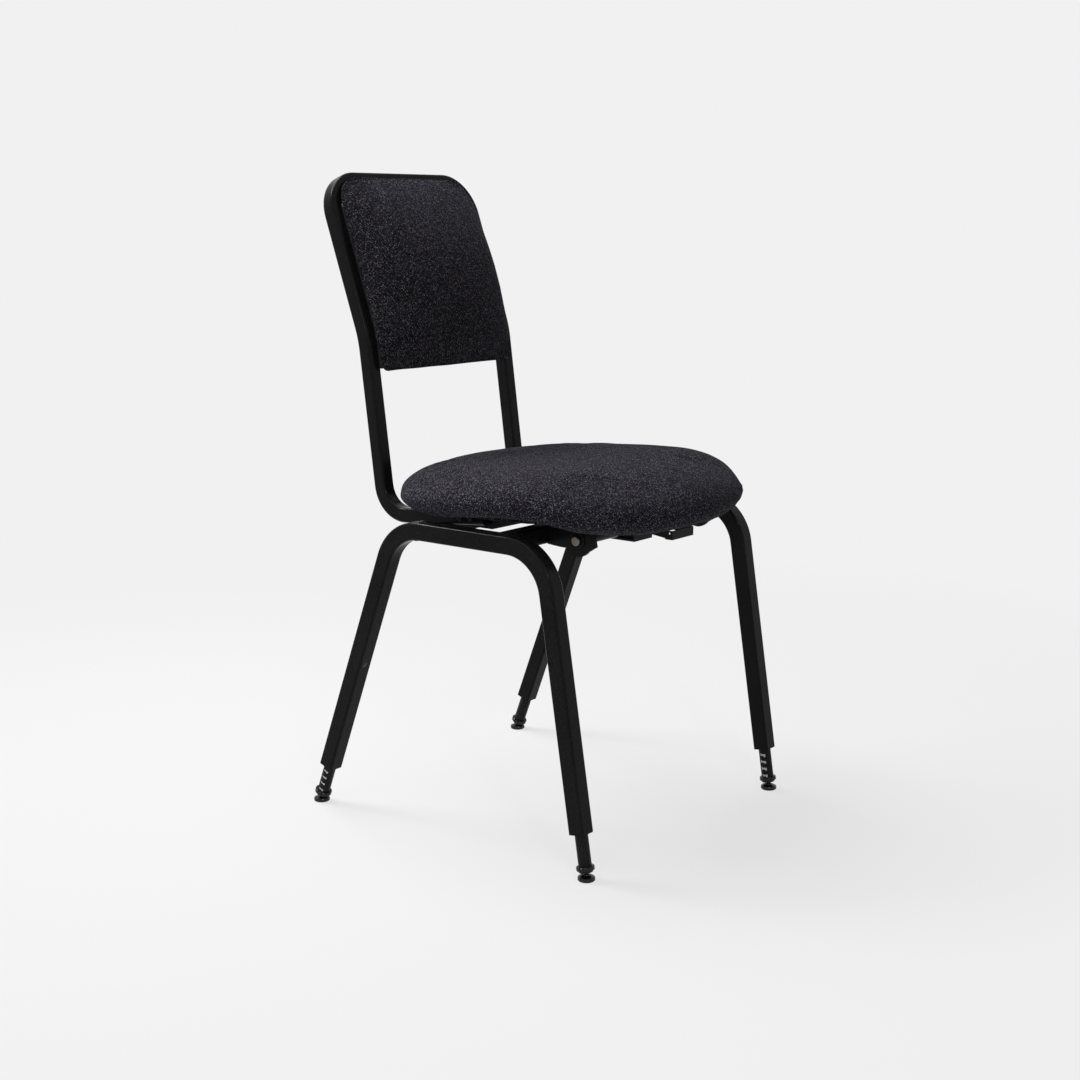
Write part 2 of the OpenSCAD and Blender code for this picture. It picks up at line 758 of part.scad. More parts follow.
// the bent tube of the back: size and corner give the outside or the hollow
module back_solid(size, corner, extra) {
    for (side = [right, left]) {
        x = side * upright_x;
        translate([x, arm_end_y, arm_end_z]) rotate([-90 - arm_rise, 0, 0])
            translate([0, 0, -extra]) linear_extrude(arm_length + extra + seam) slim_square(size, corner);
        translate([x, arm_bend_y, arm_bend_z]) rotate([90, 0, 90]) rotate([0, 0, -90 - arm_rise])
            rotate_extrude(angle = arm_turn, $fn = 96) translate([arm_bend_radius, 0])
            round_square(size, corner);
        translate([x, lower_start_y, lower_start_z]) rotate([-lower_back_lean, 0, 0])
            translate([0, 0, -seam]) linear_extrude(lower_length + 2 * seam) slim_square(size, corner);
        translate([x, kink_bend_y, kink_bend_z]) rotate([90, 0, 90]) rotate([0, 0, 180 - upper_back_lean])
            rotate_extrude(angle = kink_turn, $fn = 96) translate([kink_bend_radius, 0])
            round_square(size, corner);
        translate([x, kink_end_y, kink_end_z]) rotate([-upper_back_lean, 0, 0])
            translate([0, 0, -seam]) linear_extrude(upper_length + 2 * seam) slim_square(size, corner);
    }
    translate([0, kink_end_y, kink_end_z]) rotate([-upper_back_lean, 0, 0]) {
        translate([-top_bar_half - seam, 0, upper_span]) rotate([0, 90, 0])
            linear_extrude(2 * top_bar_half + 2 * seam) slim_square(size, corner);
        translate([top_bar_half, 0, upper_length]) rotate([90, 0, 0])
            rotate_extrude(angle = 90, $fn = 96) translate([top_bend_radius, 0])
            round_square(size, corner);
        translate([-top_bar_half, 0, upper_length]) rotate([90, 0, 0]) rotate([0, 0, 90])
            rotate_extrude(angle = 90, $fn = 96) translate([top_bend_radius, 0])
            round_square(size, corner);
    }
}

module back_frame() {
    place() color(black_colour) difference() {
        back_solid(back_tube, back_corner, 0);
        back_solid(back_tube - 2 * back_wall, back_corner - back_wall, cut_margin);
        for (y = [bolt_front_y, bolt_rear_y]) {
            translate([-back_width, y, arm_z(y)]) rotate([0, 90, 0])
                cylinder(d = bolt_d, h = 2 * back_width);
        }
    }
}

module back_tabs() {
    low = back_tube / 2 - tab_t;
    place() color(black_colour) tab_places() difference() {
        translate([-tab_width / 2, -tab_height / 2, low]) cube([tab_width, tab_height, tab_t]);
        translate([0, 0, low - tab_t]) cylinder(d = screw_d, h = 3 * tab_t);
    }
}

module arm_bolts() {
    place() color(steel_colour) for (side = [right, left], y = [bolt_front_y, bolt_rear_y]) {
        translate([side * seat_plate_x, y, arm_z(y)]) rotate([0, 90 * side, 0]) {
            translate([0, 0, -bolt_head_t]) cylinder(d = bolt_head_d, h = bolt_head_t);
            cylinder(d = bolt_d, h = seat_plate_t + back_tube);
            translate([0, 0, seat_plate_t + back_tube]) cylinder(d = bolt_head_d, h = bolt_head_t);
        }
    }
}

// the four tabs inside the uprights, +Z pointing forward
module tab_places() {
    for (x = [-tab_x, tab_x]) {
        translate([x, 0, 0]) lower_at(low_tab_at) rotate([90, 0, 0]) children();
        translate([x, 0, 0]) upper_at(high_tab_at) rotate([90, 0, 0]) children();
    }
}

// a point on the middle line of the lower or upper upright
module lower_at(along) {
    translate([0, lower_start_y, lower_start_z]) rotate([-lower_back_lean, 0, 0])
        translate([0, 0, along]) children();
}

module upper_at(along) {
    translate([0, kink_end_y, kink_end_z]) rotate([-upper_back_lean, 0, 0])
        translate([0, 0, along]) children();
}

module back_screws() {
    place() color(steel_colour) tab_places() translate([0, 0, back_tube / 2 - tab_t])
        pan_screw(tab_t + back_board_t * bite_share);
}

// outline of the seat at a share of its full size
function curve(v, e) = sign(v) * pow(abs(v), e);
function seat_xy(i, share) = let (
    t = i * 360 / ring_points,
    e = sin(t) < 0 ? front_power : rear_power,
    v = share * curve(sin(t), e))
    [seat_half_width * share * curve(cos(t), e) * (1 - taper_share * v),
        seat_half_depth * v - seat_ahead, v];
function seat_bend(v) = -front_droop * pow(max(-v - droop_start_share, 0), 2)
    + rear_lift * pow(max(v - droop_start_share, 0), 2) - tan(seat_slope) * seat_half_depth * v;
function seat_point(i, share, depth) = let (p = seat_xy(i, share))
    [p[0], p[1], seat_height + depth * sqrt(max(0, 1 - pow(share, edge_power))) + seat_bend(p[2])];
function board_point(i, share) = let (p = seat_xy(i, share)) [p[0], p[1]];

// faces between rings of points, closed by a fan at each end
function ring_faces(rings) = [for (r = [0:rings - 2], i = [0:ring_points - 1], k = [0, 1]) let (
    a = r * ring_points + i,
    b = r * ring_points + (i + 1) % ring_points,
    c = a + ring_points,
    d = b + ring_points) k == 0 ? [a, b, d] : [a, d, c]];
function fan_faces(first, tip, turn) = [for (i = [0:ring_points - 1]) let (
    a = first + i,
    b = first + (i + 1) % ring_points) turn ? [tip, b, a] : [tip, a, b]];

module seat_form() {
    over = len(over_shares);
    under = len(under_shares);
    rings = over + under + 1;
    ceiling = board_z + board_t;
    points = concat(
        [for (s = over_shares, i = [0:ring_points - 1]) seat_point(i, s, seat_crown)],
        [for (s = under_shares, i = [0:ring_points - 1]) seat_point(i, s, -seat_belly)],
        [for (i = [0:ring_points - 1]) let (p = seat_xy(i, lip_share)) [p[0], p[1], ceiling]],
        [[0, -seat_ahead, seat_height + seat_crown], [0, -seat_ahead, ceiling]]);
    tip = rings * ring_points;
    polyhedron(points, concat(ring_faces(rings), fan_faces(0, tip, true),
        fan_faces((rings - 1) * ring_points, tip + 1, false)));
}

module seat_cushion() {
    place() color(tweed_colour) seat_form();
}

module seat_board() {
    place() color(board_colour) difference() {
        translate([0, 0, board_z]) linear_extrude(board_t)
            polygon([for (i = [0:ring_points - 1]) board_point(i, lip_share - board_play_share)]);
        for (side = [right, left], y = screw_rows) {
            translate([side * screw_x, y, board_z - cut_margin])
                cylinder(d = screw_d, h = screw_depth + cut_margin);
        }
        for (x = bracket_screws) {
            translate([x, bracket_y, board_z - cut_margin])
                cylinder(d = screw_d, h = screw_depth + cut_margin);
        }
    }
}

module pan_screw(grip) {
    translate([0, 0, -screw_head_t]) cylinder(d = screw_head_d, h = screw_head_t);
    cylinder(d = screw_d, h = grip);
}

module seat_screws() {
    place() color(steel_colour) {
        for (side = [right, left], y = screw_rows) {
            translate([side * screw_x, y, board_z - seat_plate_t])
                pan_screw(seat_plate_t + screw_depth);
        }
        for (x = bracket_screws) {
            translate([x, bracket_y, board_z - press_t]) pan_screw(press_t + screw_depth);
        }
    }
}

function mix(a, b, t) = a + (b - a) * t;
function lean_share(s) = max(0, min(1, (s + blend_s) / (2 * blend_s)));
function path_lean(s) = mix(lower_back_lean, upper_back_lean, lean_share(s));
function path_y(s) = s < 0 ? kink_y + s * sin(lower_back_lean) : kink_y + s * sin(upper_back_lean);
function path_z(s) = s < 0 ? kink_z + s * cos(lower_back_lean) : kink_z + s * cos(upper_back_lean);
function on_back(x, s, d) = let (a = path_lean(s), n = face_gap + d)
    [x, path_y(s) - n * cos(a), path_z(s) + n * sin(a)];
// half width of the pad outline at a height s, with its corners rounded
function corner_cut(r, gap) = gap >= r ? 0 : r - sqrt(r * r - (r - gap) * (r - gap));
function pad_half(s) = back_half_width - corner_cut(back_pad_top_corner, pad_high_s - s)
    - corner_cut(back_pad_low_corner, s - pad_low_s);
function pad_cross(u) = pow(max(0, 1 - pow(abs(u), pad_cross_power)), pad_cross_round);
function pad_along(s) = (s - pad_peak_s) / ((s > pad_peak_s ? pad_high_s : pad_low_s) - pad_peak_s);
function pad_front(s) = (back_pad_depth - back_pad_edge) * max(0, 1 - pow(pad_along(s), 2));
function pad_point(r, c, front) = let (
    s = pad_rows[r],
    u = sin(pad_column_turn * c - 90),
    d = front ? back_pad_edge + pad_front(s) * pad_cross(u) : 0)
    on_back(u * pad_half(s), s, back_board_t + pad_play + d);

module back_cushion() {
    rows = len(pad_rows);
    cols = pad_columns;
    side = rows * cols;
    points = concat(
        [for (r = [0:rows - 1], c = [0:cols - 1]) pad_point(r, c, true)],
        [for (r = [0:rows - 1], c = [0:cols - 1]) pad_point(r, c, false)]);
    sheets = [for (r = [0:rows - 2], c = [0:cols - 2], k = [0:3]) let (
        a = r * cols + c,
        b = a + 1,
        d = a + cols,
        e = d + 1)
        k == 0 ? [a, d, b] : k == 1 ? [b, d, e]
        : k == 2 ? [side + a, side + b, side + d] : [side + b, side + e, side + d]];
    ends = [for (c = [0:cols - 2], k = [0:3]) let (a = c, b = (rows - 1) * cols + c)
        k == 0 ? [a, a + 1, side + a] : k == 1 ? [a + 1, side + a + 1, side + a]
        : k == 2 ? [b, side + b, b + 1] : [b + 1, side + b, side + b + 1]];
    edges = [for (r = [0:rows - 2], k = [0:3]) let (a = r * cols, b = r * cols + cols - 1)
        k == 0 ? [a, side + a, a + cols] : k == 1 ? [a + cols, side + a, side + a + cols]
        : k == 2 ? [b, b + cols, side + b] : [b + cols, side + b + cols, side + b]];
    place() color(tweed_colour) polyhedron(points, concat(sheets, ends, edges));
}

module back_board() {
    inset = back_board_t;
    low = pad_low_s + inset;
    high = pad_high_s - inset;
    half = back_half_width - inset;
    r = back_pad_top_corner;
    place() color(board_colour) difference() {
        intersection() {
            translate([-half, 0, 0]) rotate([90, 0, 90]) linear_extrude(2 * half) polygon([
                yz(on_back(0, low, 0)), yz(on_back(0, -blend_s, 0)), yz(on_back(0, 0, 0)),
                yz(on_back(0, blend_s, 0)), yz(on_back(0, high, 0)),
                yz(on_back(0, high, back_board_t)), yz(on_back(0, blend_s, back_board_t)),
                yz(on_back(0, 0, back_board_t)),
                yz(on_back(0, -blend_s, back_board_t)), yz(on_back(0, low, back_board_t))]);
            translate([0, kink_y, kink_z]) rotate([-upper_back_lean, 0, 0]) rotate([-90, 0, 0])
                translate([0, 0, -back_half_width]) linear_extrude(2 * back_half_width) {
                translate([-half, r - high - hair]) square([2 * half, 2 * back_half_width]);
                translate([r - half, -high - hair]) square([2 * half - 2 * r, 2 * r]);
                for (x = [-1, 1]) {
                    translate([x * (half - r), r - high - hair]) circle(r);
                }
            }
        }
        tab_places() cylinder(d = screw_d, h = back_tube / 2 + back_board_t * bite_share);
    }
}

function yz(p) = [p[1], p[2]];

// release lever under the front of the seat
module lever_bracket() {
    place() color(black_colour) {
        difference() {
            translate([-bracket_half, bracket_y - bracket_depth / 2, board_z - press_t])
                cube([2 * bracket_half, bracket_depth, press_t]);
            for (x = bracket_screws) {
                translate([x, bracket_y, board_z - 2 * press_t])
                    cylinder(d = screw_d, h = 3 * press_t);
            }
        }
        for (x = [-bracket_half, bracket_half - press_t]) {
            yz_plate(x, press_t) difference() {
                union() {
                    translate([bracket_y - pin_eye_r, lever_pin_z])
                        square([2 * pin_eye_r, board_z - lever_pin_z]);
                    translate([lever_pin_y, lever_pin_z]) circle(pin_eye_r);
                }
                translate([lever_pin_y, lever_pin_z]) circle(d = lever_pin_d);
            }
        }
    }
}

module lever_pin() {
    half = paddle_width / 2 + turn_clearance;
    place() color(steel_colour) translate([0, lever_pin_y, lever_pin_z]) rotate([0, 90, 0]) {
        translate([0, 0, -half]) cylinder(d = lever_pin_d, h = 2 * half);
        translate([0, 0, half]) cylinder(d = lever_pin_head_d, h = lever_pin_head_t);
        translate([0, 0, -half - lever_pin_head_t]) cylinder(d = lever_pin_head_d, h = lever_pin_head_t);
    }
}

module lever_cheek(x) {
    top_z = paddle_z + paddle_height;
    yz_plate(x, press_t) difference() {
        union() {
            polygon([[paddle_y, paddle_z], [paddle_y, top_z],
                [paddle_y + paddle_height * cheek_top_share, top_z],
                [lever_pin_y, lever_pin_z + pin_eye_r], [lever_pin_y + pin_eye_r, lever_pin_z],
                [lever_pin_y + pin_eye_r, paddle_z + paddle_height * cheek_low_share]]);
            translate([lever_pin_y, lever_pin_z]) circle(pin_eye_r);
        }
        translate([lever_pin_y, lever_pin_z]) circle(d = lever_pin_d + 2 * turn_clearance);
        translate([paddle_y + paddle_height * cheek_hole_in_share,
            paddle_z + paddle_height * cheek_hole_up_share]) circle(d = cheek_hole_d);
    }
}

module release_lever() {
    place() color(black_colour) {
        translate([-paddle_width / 2, paddle_y, paddle_z])
            cube([paddle_width, press_t, paddle_height]);
        lever_cheek(-paddle_width / 2);
        lever_cheek(paddle_width / 2 - press_t);
        translate([-paddle_width / 2, paddle_y, paddle_z])
            cube([paddle_width, paddle_height, press_t]);
    }
}

// one foot, in the leg's frame, slots opening to the channel at channel_turn
module slot_sector(start, turn, low, high) {
    rotate([0, 0, start]) rotate_extrude(angle = turn, $fn = 96)
        translate([foot_bore_r - foot_tube_wall / 2, low]) square([2 * foot_tube_wall, high - low]);
}

module foot_slots() {
    channel = 90 + channel_turn;
    for (k = [0:slot_count - 1]) {
        z = first_slot + k * slot_pitch;
        slot_sector(channel, slot_turn + slot_edge, z - slot_width / 2, z + slot_width / 2);
        slot_sector(channel + slot_turn - hook_turn / 2, hook_turn / 2 + slot_edge,
            z - slot_width / 2 - hook_depth, z);
        slot_sector(channel, ramp_turn, z, z + slot_width / 2 + hook_depth);
    }
    rotate([0, 0, channel]) translate([foot_bore_r - foot_tube_wall / 2, -slot_width / 2,
        first_slot - slot_width / 2])
        cube([2 * foot_tube_wall, slot_width, (slot_count - 1) * slot_pitch + slot_width]);
}

// turn_side 1 keeps the ladder, -1 mirrors it
module handed(turn_side) {
    if (turn_side > 0) {
        children();
    } else {
        mirror([1, 0, 0]) children();
    }
}

module foot_tube(turn_side) {
    color(black_colour) handed(turn_side) difference() {
        translate([0, 0, collar_base]) ring(foot_tube_d, 2 * foot_bore_r, foot_length - collar_base);
        foot_slots();
    }
}

module foot_liner() {
    color(liner_colour) translate([0, 0, collar_base])
        ring(2 * foot_bore_r, 2 * liner_r, foot_length - collar_base);
}

module foot_collar(lean) {
    edge = collar_height * collar_edge_share;
    ball_at = ball_z / cos(lean);
    r = collar_d / 2;
    color(rubber_colour) difference() {
        union() {
            rotate_extrude() polygon([[0, waist_base], [waist_r, waist_base], [waist_r, collar_base],
                [r - edge, collar_base], [r, collar_base + edge], [r, collar_top - edge],
                [r - edge, collar_top], [foot_r, collar_top], [foot_r, collar_base], [0, collar_base]]);
            translate([0, 0, ball_at]) sphere(d = ball_d);
            translate([0, 0, ball_at]) cylinder(r = neck_r, h = waist_base - ball_at + edge);
        }
        for (i = [0:notch_count - 1]) {
            rotate([0, 0, i * 360 / notch_count]) translate([r - 2 * edge, -edge, collar_top - 2 * edge])
                cube([collar_height, 2 * edge, collar_height]);
        }
    }
}

module foot_base(lean) {
    r = base_d / 2;
    rim = base_height * rim_share;
    edge = base_height * base_edge_share;
    shift = ball_z * tan(lean);
    color(rubber_colour) translate([0, shift, 0]) difference() {
        rotate_extrude() polygon([[0, 0], [r - edge, 0], [r, edge], [r, rim - edge], [r - edge / 2, rim],
            [r * crown_share, base_height], [0, base_height]]);
        translate([0, 0, ball_z]) sphere(d = ball_d + 2 * turn_clearance);
    }
}

module base_front(side) {
    translate([side * side_x, front_foot_y, 0]) foot_base(front_lean);
}

module base_rear(side) {
    translate([side * side_x, rear_foot_y, 0]) foot_base(-rear_lean);
}

module foot_tube_front_right() {
    place() leg_front(right) foot_tube(right);
}

module foot_tube_front_left() {
    place() leg_front(left) foot_tube(left);
}

module foot_tube_rear_right() {
    place() leg_rear(right) foot_tube(left);
}

module foot_tube_rear_left() {
    place() leg_rear(left) foot_tube(right);
}

module foot_liner_front_right() {
    place() leg_front(right) foot_liner();
}

module foot_liner_front_left() {
    place() leg_front(left) foot_liner();
}

module foot_liner_rear_right() {
    place() leg_rear(right) foot_liner();
}

module foot_liner_rear_left() {
    place() leg_rear(left) foot_liner();
}

module foot_collar_front_right() {
    place() leg_front(right) foot_collar(front_lean);
}

module foot_collar_front_left() {
    place() leg_front(left) foot_collar(front_lean);
}

module foot_collar_rear_right() {
    place() leg_rear(right) foot_collar(rear_lean);
}

module foot_collar_rear_left() {
    place() leg_rear(left) foot_collar(rear_lean);
}

module foot_base_front_right() {
    place() base_front(right);
}

module foot_base_front_left() {
    place() base_front(left);
}

module foot_base_rear_right() {
    place() base_rear(right);
}

module foot_base_rear_left() {
    place() base_rear(left);
}

side_frame_right();
side_frame_left();
front_crossbar();
rear_crossbar();
pivot_plate_right();
pivot_plate_left();
pivot_rod();
pivot_washers();
pivot_caps();
stop_buffers();
latch_plate();
leg_sleeve_front_right();
leg_sleeve_front_left();
leg_sleeve_rear_right();
leg_sleeve_rear_left();
seat_plate_right();
seat_plate_left();
pivot_tube();
pivot_spacers();
back_frame();
back_tabs();
arm_bolts();
seat_board();
seat_screws();
seat_cushion();
back_board();
back_screws();
back_cushion();
lever_bracket();
lever_pin();
release_lever();
foot_tube_front_right();
foot_liner_front_right();
foot_collar_front_right();
foot_base_front_right();
foot_tube_front_left();
foot_liner_front_left();
foot_collar_front_left();
foot_base_front_left();
foot_tube_rear_right();
foot_liner_rear_right();
foot_collar_rear_right();
foot_base_rear_right();
foot_tube_rear_left();
foot_liner_rear_left();
foot_collar_rear_left();
foot_base_rear_left();
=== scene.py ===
"""Choir chair: tweed pads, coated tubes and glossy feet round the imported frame."""

import math

import bpy
import numpy as np
from mathutils import Matrix, Vector, noise


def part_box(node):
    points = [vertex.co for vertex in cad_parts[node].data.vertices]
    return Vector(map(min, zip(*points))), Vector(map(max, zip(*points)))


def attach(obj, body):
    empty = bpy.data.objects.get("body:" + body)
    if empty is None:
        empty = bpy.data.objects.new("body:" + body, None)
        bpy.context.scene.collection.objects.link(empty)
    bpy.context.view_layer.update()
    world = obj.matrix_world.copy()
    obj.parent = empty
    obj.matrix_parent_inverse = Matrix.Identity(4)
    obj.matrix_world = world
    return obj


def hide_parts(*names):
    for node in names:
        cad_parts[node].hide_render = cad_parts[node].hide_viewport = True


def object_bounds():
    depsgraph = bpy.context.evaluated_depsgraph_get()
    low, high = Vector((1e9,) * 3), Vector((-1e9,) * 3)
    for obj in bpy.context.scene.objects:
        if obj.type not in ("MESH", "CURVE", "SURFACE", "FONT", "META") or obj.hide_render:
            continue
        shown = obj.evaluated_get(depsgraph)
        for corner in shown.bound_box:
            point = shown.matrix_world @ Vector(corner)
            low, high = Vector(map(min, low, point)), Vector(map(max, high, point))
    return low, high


bl_info = {
    "name": "Choir Chair",
    "version": (1, 0, 0),
    "blender": (4, 5, 0),
    "location": "View3D > Sidebar > Choir Chair",
    "description": "Builds the pads, finishes and studio of a tilting choir chair",
    "category": "Add Mesh",
}

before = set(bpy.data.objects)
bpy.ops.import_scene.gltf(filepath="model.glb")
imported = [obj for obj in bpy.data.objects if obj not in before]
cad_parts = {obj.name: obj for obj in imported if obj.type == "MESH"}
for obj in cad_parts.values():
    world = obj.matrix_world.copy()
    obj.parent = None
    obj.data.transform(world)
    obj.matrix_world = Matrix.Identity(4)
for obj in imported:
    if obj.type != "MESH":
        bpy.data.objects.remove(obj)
CAD_LOW, CAD_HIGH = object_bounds()
MM = 0.001

SEAT_LOW, SEAT_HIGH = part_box("seat_cushion")
BOARD_LOW, BOARD_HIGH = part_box("seat_board")
BACK_LOW, BACK_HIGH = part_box("back_cushion")
SEAT_MIDDLE_Y = (SEAT_LOW.y + SEAT_HIGH.y) / 2
SEAT_HALF_DEPTH = (SEAT_HIGH.y - SEAT_LOW.y) / 2
FLOOR_CENTRE = Vector(((CAD_LOW.x + CAD_HIGH.x) / 2, (CAD_LOW.y + CAD_HIGH.y) / 2, 0))
LOWER_LEAN = math.radians(7.6)
UPPER_LEAN = math.radians(19.5)

COATED_NODES = (
    "side_frame_right", "side_frame_left", "front_crossbar", "rear_crossbar",
    "pivot_plate_right", "pivot_plate_left", "pivot_washers", "latch_plate",
    "seat_plate_right", "seat_plate_left", "pivot_tube", "back_frame",
    "back_tabs", "lever_bracket", "release_lever",
)
STEEL_NODES = ("pivot_rod", "pivot_caps", "seat_screws", "back_screws", "lever_pin")
CORNERS = ("front_right", "front_left", "rear_right", "rear_left")

# numbers of points, rows and staples
PAD_POINTS = 160
HEM_POINTS = 480
STAPLES = 44
BACK_ROWS = 64
BACK_COLUMNS = 49
FLOOR_POINTS = 96

# cloth simulation, which swells each pad by a limited amount
CLOTH_SETTINGS = {
    "quality": 6,
    "mass": 0.3,
    "tension_stiffness": 25,
    "compression_stiffness": 25,
    "bending_stiffness": 2.5,
    "use_pressure": True,
}
PRESSURE = 4.0
CLOTH_FRAMES = 20
SEAT_VOXEL = 0.005
SEAT_SWELL = 0.003
BACK_SWELL = 0.002

# tweed: how far the yarn strays, its finer yarn, and the lie of its ribs
YARN_STRAY = 0.0009
FINE_YARN = 1.8
RIB_SLANT = 0.6
RIB_FACING = 6.0

# thickness of a layer of the plywood
VENEER = 1.5 * MM

# studio: camera sensor in mm, the height the lamps point at, the floor's radius
SENSOR_WIDTH = 36
AIM_HEIGHT = Vector((0, 0, 0.42))
FLOOR_REACH = 14.0


# ---------------------------------------------------------------- materials


class Value:
    """A socket that takes part in Python expressions, which add Math nodes."""

    def __init__(self, finish, socket):
        self.finish = finish
        self.socket = socket

    def calculate(self, operation, *operands):
        return self.finish.node(
            "ShaderNodeMath", {"operation": operation}, dict(enumerate(operands))
        )

    def __add__(self, other):
        return self.calculate("ADD", self, other)

    def __radd__(self, other):
        return self.calculate("ADD", other, self)

    def __sub__(self, other):
        return self.calculate("SUBTRACT", self, other)

    def __rsub__(self, other):
        return self.calculate("SUBTRACT", other, self)

    def __mul__(self, other):
        return self.calculate("MULTIPLY", self, other)

    def __rmul__(self, other):
        return self.calculate("MULTIPLY", other, self)

    def __truediv__(self, other):
        return self.calculate("DIVIDE", self, other)

    def __pow__(self, other):
        return self.calculate("POWER", self, other)

    def maximum(self, other):
        return self.calculate("MAXIMUM", self, other)

    def sine(self):
        return self.calculate("SINE", self)

    def magnitude(self):
        return self.calculate("ABSOLUTE", self)


class Finish:
    """A material, or the world, under construction: one method adds any node."""

    def __init__(self, name, kind="materials"):
        self.owner = getattr(bpy.data, kind).new(name)
        self.owner.use_nodes = True
        self.tree = self.owner.node_tree
        self.tree.nodes.clear()

    def node(self, kind, settings=None, inputs=None, output=0):
        made = self.tree.nodes.new(kind)
        for key, value in (settings or {}).items():
            if key == "stops":
                set_stops(made.color_ramp, value)
            else:
                setattr(made, key, value)
        for key, value in (inputs or {}).items():
            self.feed(find_socket(made.inputs, key), value)
        if made.outputs:
            return Value(self, find_socket(made.outputs, output))
        return None

    def feed(self, socket, value):
        if isinstance(value, Value):
            self.tree.links.new(value.socket, socket)
        else:
            socket.default_value = value

    def place(self):
        return self.node("ShaderNodeTexCoord", output="Object")

    def noise(self, scale, detail=2.0, roughness=0.5, at=None, output="Fac"):
        return self.node(
            "ShaderNodeTexNoise",
            None,
            {
                "Vector": at or self.place(),
                "Scale": scale,
                "Detail": detail,
                "Roughness": roughness,
            },
            output,
        )

    def cells(self, at, scale, output="Color"):
        return self.node(
            "ShaderNodeTexVoronoi", None, {"Vector": at, "Scale": scale}, output
        )

    def channel(self, colour, name):
        return self.node("ShaderNodeSeparateColor", None, {"Color": colour}, name)

    def axis(self, vector, name):
        return self.node("ShaderNodeSeparateXYZ", None, {"Vector": vector}, name)

    def ramp(self, value, stops):
        return self.node("ShaderNodeValToRGB", {"stops": stops}, {"Fac": value})

    def mask(self, value, low, high):
        """Black below the low level, white above the high one."""
        return self.ramp(value, [(low, grey(0)), (high, grey(1))])

    def blend(self, share, first, second, blend_type="MIX"):
        return self.node(
            "ShaderNodeMix",
            {"data_type": "RGBA", "blend_type": blend_type},
            {"Factor_Float": share, "A_Color": first, "B_Color": second},
            "Result_Color",
        )

    def bump(self, height, distance, strength=1.0):
        return self.node(
            "ShaderNodeBump",
            None,
            {"Height": height, "Distance": distance, "Strength": strength},
        )

    def surface(self, **inputs):
        """Ends the material in a Principled shader with these sockets."""
        named = {key.replace("_", " "): value for key, value in inputs.items()}
        shader = self.node("ShaderNodeBsdfPrincipled", None, named)
        self.node("ShaderNodeOutputMaterial", None, {"Surface": shader})
        return self.owner


def find_socket(sockets, key):
    if isinstance(key, int):
        return sockets[key]
    for socket in sockets:
        if socket.identifier == key:
            return socket
    return sockets[key]


def set_stops(ramp, stops):
    while len(ramp.elements) > 1:
        ramp.elements.remove(ramp.elements[-1])
    for index, (position, colour) in enumerate(stops):
        element = ramp.elements[0] if index == 0 else ramp.elements.new(position)
        element.position = position
        element.color = colour


def grey(level):
    return (level, level, level, 1.0)


def tint(colour, share):
    """The same colour, lighter or darker by a share."""
    return tuple(channel * share for channel in colour[:3]) + (1.0,)


def powder_coat(settings):
    """Satin black powder coat: fine orange peel, rubbed patches, specks of dust."""
    finish = Finish("powder_coat")
    at = finish.place()
    peel = finish.noise(900, 2, 0.5, at=at)
    patches = finish.noise(14, 4, 0.6, at=at)
    dust = finish.noise(1400, 1, 0.5, at=at)
    specks = finish.mask(dust, 0.735, 0.775)
    worn = finish.mask(patches, 0.35, 0.7)
    base = finish.blend(
        worn, tint(settings.coat_colour, 0.85), tint(settings.coat_colour, 1.3)
    )
    sparkle = finish.noise(620, 2, 0.7, at=at)
    grain = finish.ramp(sparkle, [(0.32, grey(0.5)), (0.68, grey(1.6))])
    base = finish.blend(1.0, base, grain, "MULTIPLY")
    colour = finish.blend(specks, base, tint(settings.dust_colour, 1.0))
    roughness = settings.coat_roughness + patches * 0.12 + peel * 0.06 - 0.09
    return finish.surface(
        Base_Color=colour,
        Roughness=roughness,
        Specular_IOR_Level=0.065,
        Normal=finish.bump(peel, 0.00012, 0.5),
    )


def foot_coat(settings):
    """Smoother, glossier black on the foot tubes, scuffed along the length."""
    finish = Finish("foot_coat")
    at = finish.place()
    grain = finish.noise(600, 3, 0.6, at=at)
    scuffs = finish.noise(60, 5, 0.7, at=at)
    worn = finish.mask(scuffs, 0.5, 0.75)
    colour = finish.blend(
        worn, tint(settings.coat_colour, 1.5), tint(settings.coat_colour, 3.1)
    )
    return finish.surface(
        Base_Color=colour,
        Roughness=0.26 + scuffs * 0.18,
        Specular_IOR_Level=0.08,
        Normal=finish.bump(grain, 0.00006, 0.4),
    )


def moulded_plastic():
    """Glossy black moulding of the collars, bases and sleeves."""
    finish = Finish("moulded_plastic")
    at = finish.place()
    flow = finish.noise(45, 3, 0.55, at=at)
    grain = finish.noise(1600, 1, 0.5, at=at)
    colour = finish.blend(flow, grey(0.004), grey(0.009))
    return finish.surface(
        Base_Color=colour,
        Roughness=0.16 + flow * 0.16,
        Specular_IOR_Level=0.22,
        Coat_Weight=0.06,
        Normal=finish.bump(flow + grain * 0.3, 0.0001, 0.5),
    )


def soft_rubber():
    finish = Finish("soft_rubber")
    at = finish.place()
    grain = finish.noise(700, 3, 0.6, at=at)
    chalk = finish.noise(80, 4, 0.6, at=at)
    colour = finish.blend(chalk, grey(0.007), grey(0.02))
    return finish.surface(
        Base_Color=colour,
        Roughness=0.62 + chalk * 0.2,
        Normal=finish.bump(grain, 0.0002, 0.6),
    )


def white_liner():
    finish = Finish("white_liner")
    at = finish.place()
    grime = finish.noise(220, 4, 0.6, at=at)
    colour = finish.blend(
        finish.mask(grime, 0.45, 0.8),
        (0.84, 0.84, 0.82, 1.0),
        (0.5, 0.5, 0.49, 1.0),
    )
    return finish.surface(
        Base_Color=colour,
        Roughness=0.45 + grime * 0.15,
        Normal=finish.bump(grime, 0.00008, 0.3),
    )


